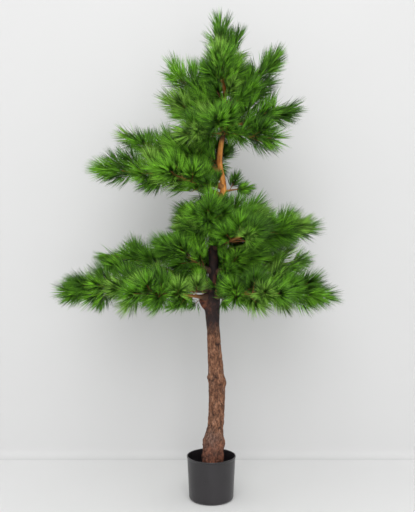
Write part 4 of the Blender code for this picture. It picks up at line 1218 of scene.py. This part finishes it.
# %% The floor and the wall
WALL_BEND, WALL_CURVE, WALL_TOP = 0.445, 0.040, 3.6
WALL_LIFT = 0.0004  # of its foot off the floor
HALF_WIDTH, FLOOR_FRONT, FLOOR_BACK = 3.6, -5.0, 6.0
WALL_SHADES = ((0.638, 0.638, 0.638), (0.668, 0.668, 0.668))
FLOOR_SHADES = ((0.755, 0.755, 0.755), (0.785, 0.785, 0.785))
wall_foot = arc((WALL_BEND, WALL_CURVE + WALL_LIFT), WALL_CURVE, -90, 0, 16)
wall_profile = np.vstack((wall_foot, (WALL_BEND + WALL_CURVE, WALL_TOP)))
wall_paint = paper_finish("wall_paint", WALL_SHADES, one_way=True)
wall = mesh_from("wall", *carried_across(wall_profile, HALF_WIDTH), [wall_paint])
floor_profile = np.array(((FLOOR_FRONT, 0.0), (0.0, 0.0), (FLOOR_BACK, 0.0)))
floor_paint = paper_finish("floor_paint", FLOOR_SHADES)
floor = mesh_from("floor", *carried_across(floor_profile, HALF_WIDTH), [floor_paint])

# %% [markdown]
# ## The lights
#
# Most of the light comes from all round, as in a white room, so shadows stay faint. A wide soft light high in
# front gives the foliage its bright tops and lays the tree's broad shadow low on the wall. A weaker one near
# the floor opens up the pot and the log.

# %% Lights
ROOM_LIGHT = 0.92


def soft_light(name, place, target, size, power):
    """A square area light that points at a target."""
    light = bpy.data.lights.new(name, "AREA")
    light.shape = "SQUARE"
    light.size = size
    light.energy = power
    made = bpy.data.objects.new(name, light)
    bpy.context.scene.collection.objects.link(made)
    made.location = place
    toward = Vector(target) - Vector(place)
    made.rotation_euler = toward.to_track_quat("-Z", "Y").to_euler()


soft_light("key", (-0.10, -3.0, 3.2), (0.0, 0.0, 0.70), size=2.6, power=62)
soft_light("low", (0.20, -3.4, 0.8), (0.0, 0.0, 0.35), size=1.8, power=20)

world = bpy.data.worlds.new("room")
world.use_nodes = True
white_room = world.node_tree.nodes["Background"].inputs
white_room["Color"].default_value = (1.0, 1.0, 1.0, 1.0)
white_room["Strength"].default_value = ROOM_LIGHT
bpy.context.scene.world = world
print("lights:", [light.name for light in bpy.data.lights])

# %% [markdown]
# ## The camera
#
# A 50 mm lens at 2.6 m, at half the tree's height and tipped down a little. These were worked out from the
# pot's rim, its foot and the tree's known height. The view transform is the plain one, so that a measured
# colour in the photograph can be set against the render.

# %% The photograph's view
CAMERA_TILT, LENS, SENSOR = 1.63, 50, 36
lens = bpy.data.cameras.new("camera")
lens.lens = LENS
lens.sensor_width = SENSOR
lens.dof.use_dof = False
camera = bpy.data.objects.new("camera", lens)
camera.location = EYE
camera.rotation_euler = (radians(90 - CAMERA_TILT), 0.0, 0.0)
bpy.context.scene.collection.objects.link(camera)
bpy.context.scene.camera = camera
bpy.context.scene.view_settings.view_transform = "Standard"
print("the camera stands at", EYE, "and tips down by", CAMERA_TILT, "degrees")
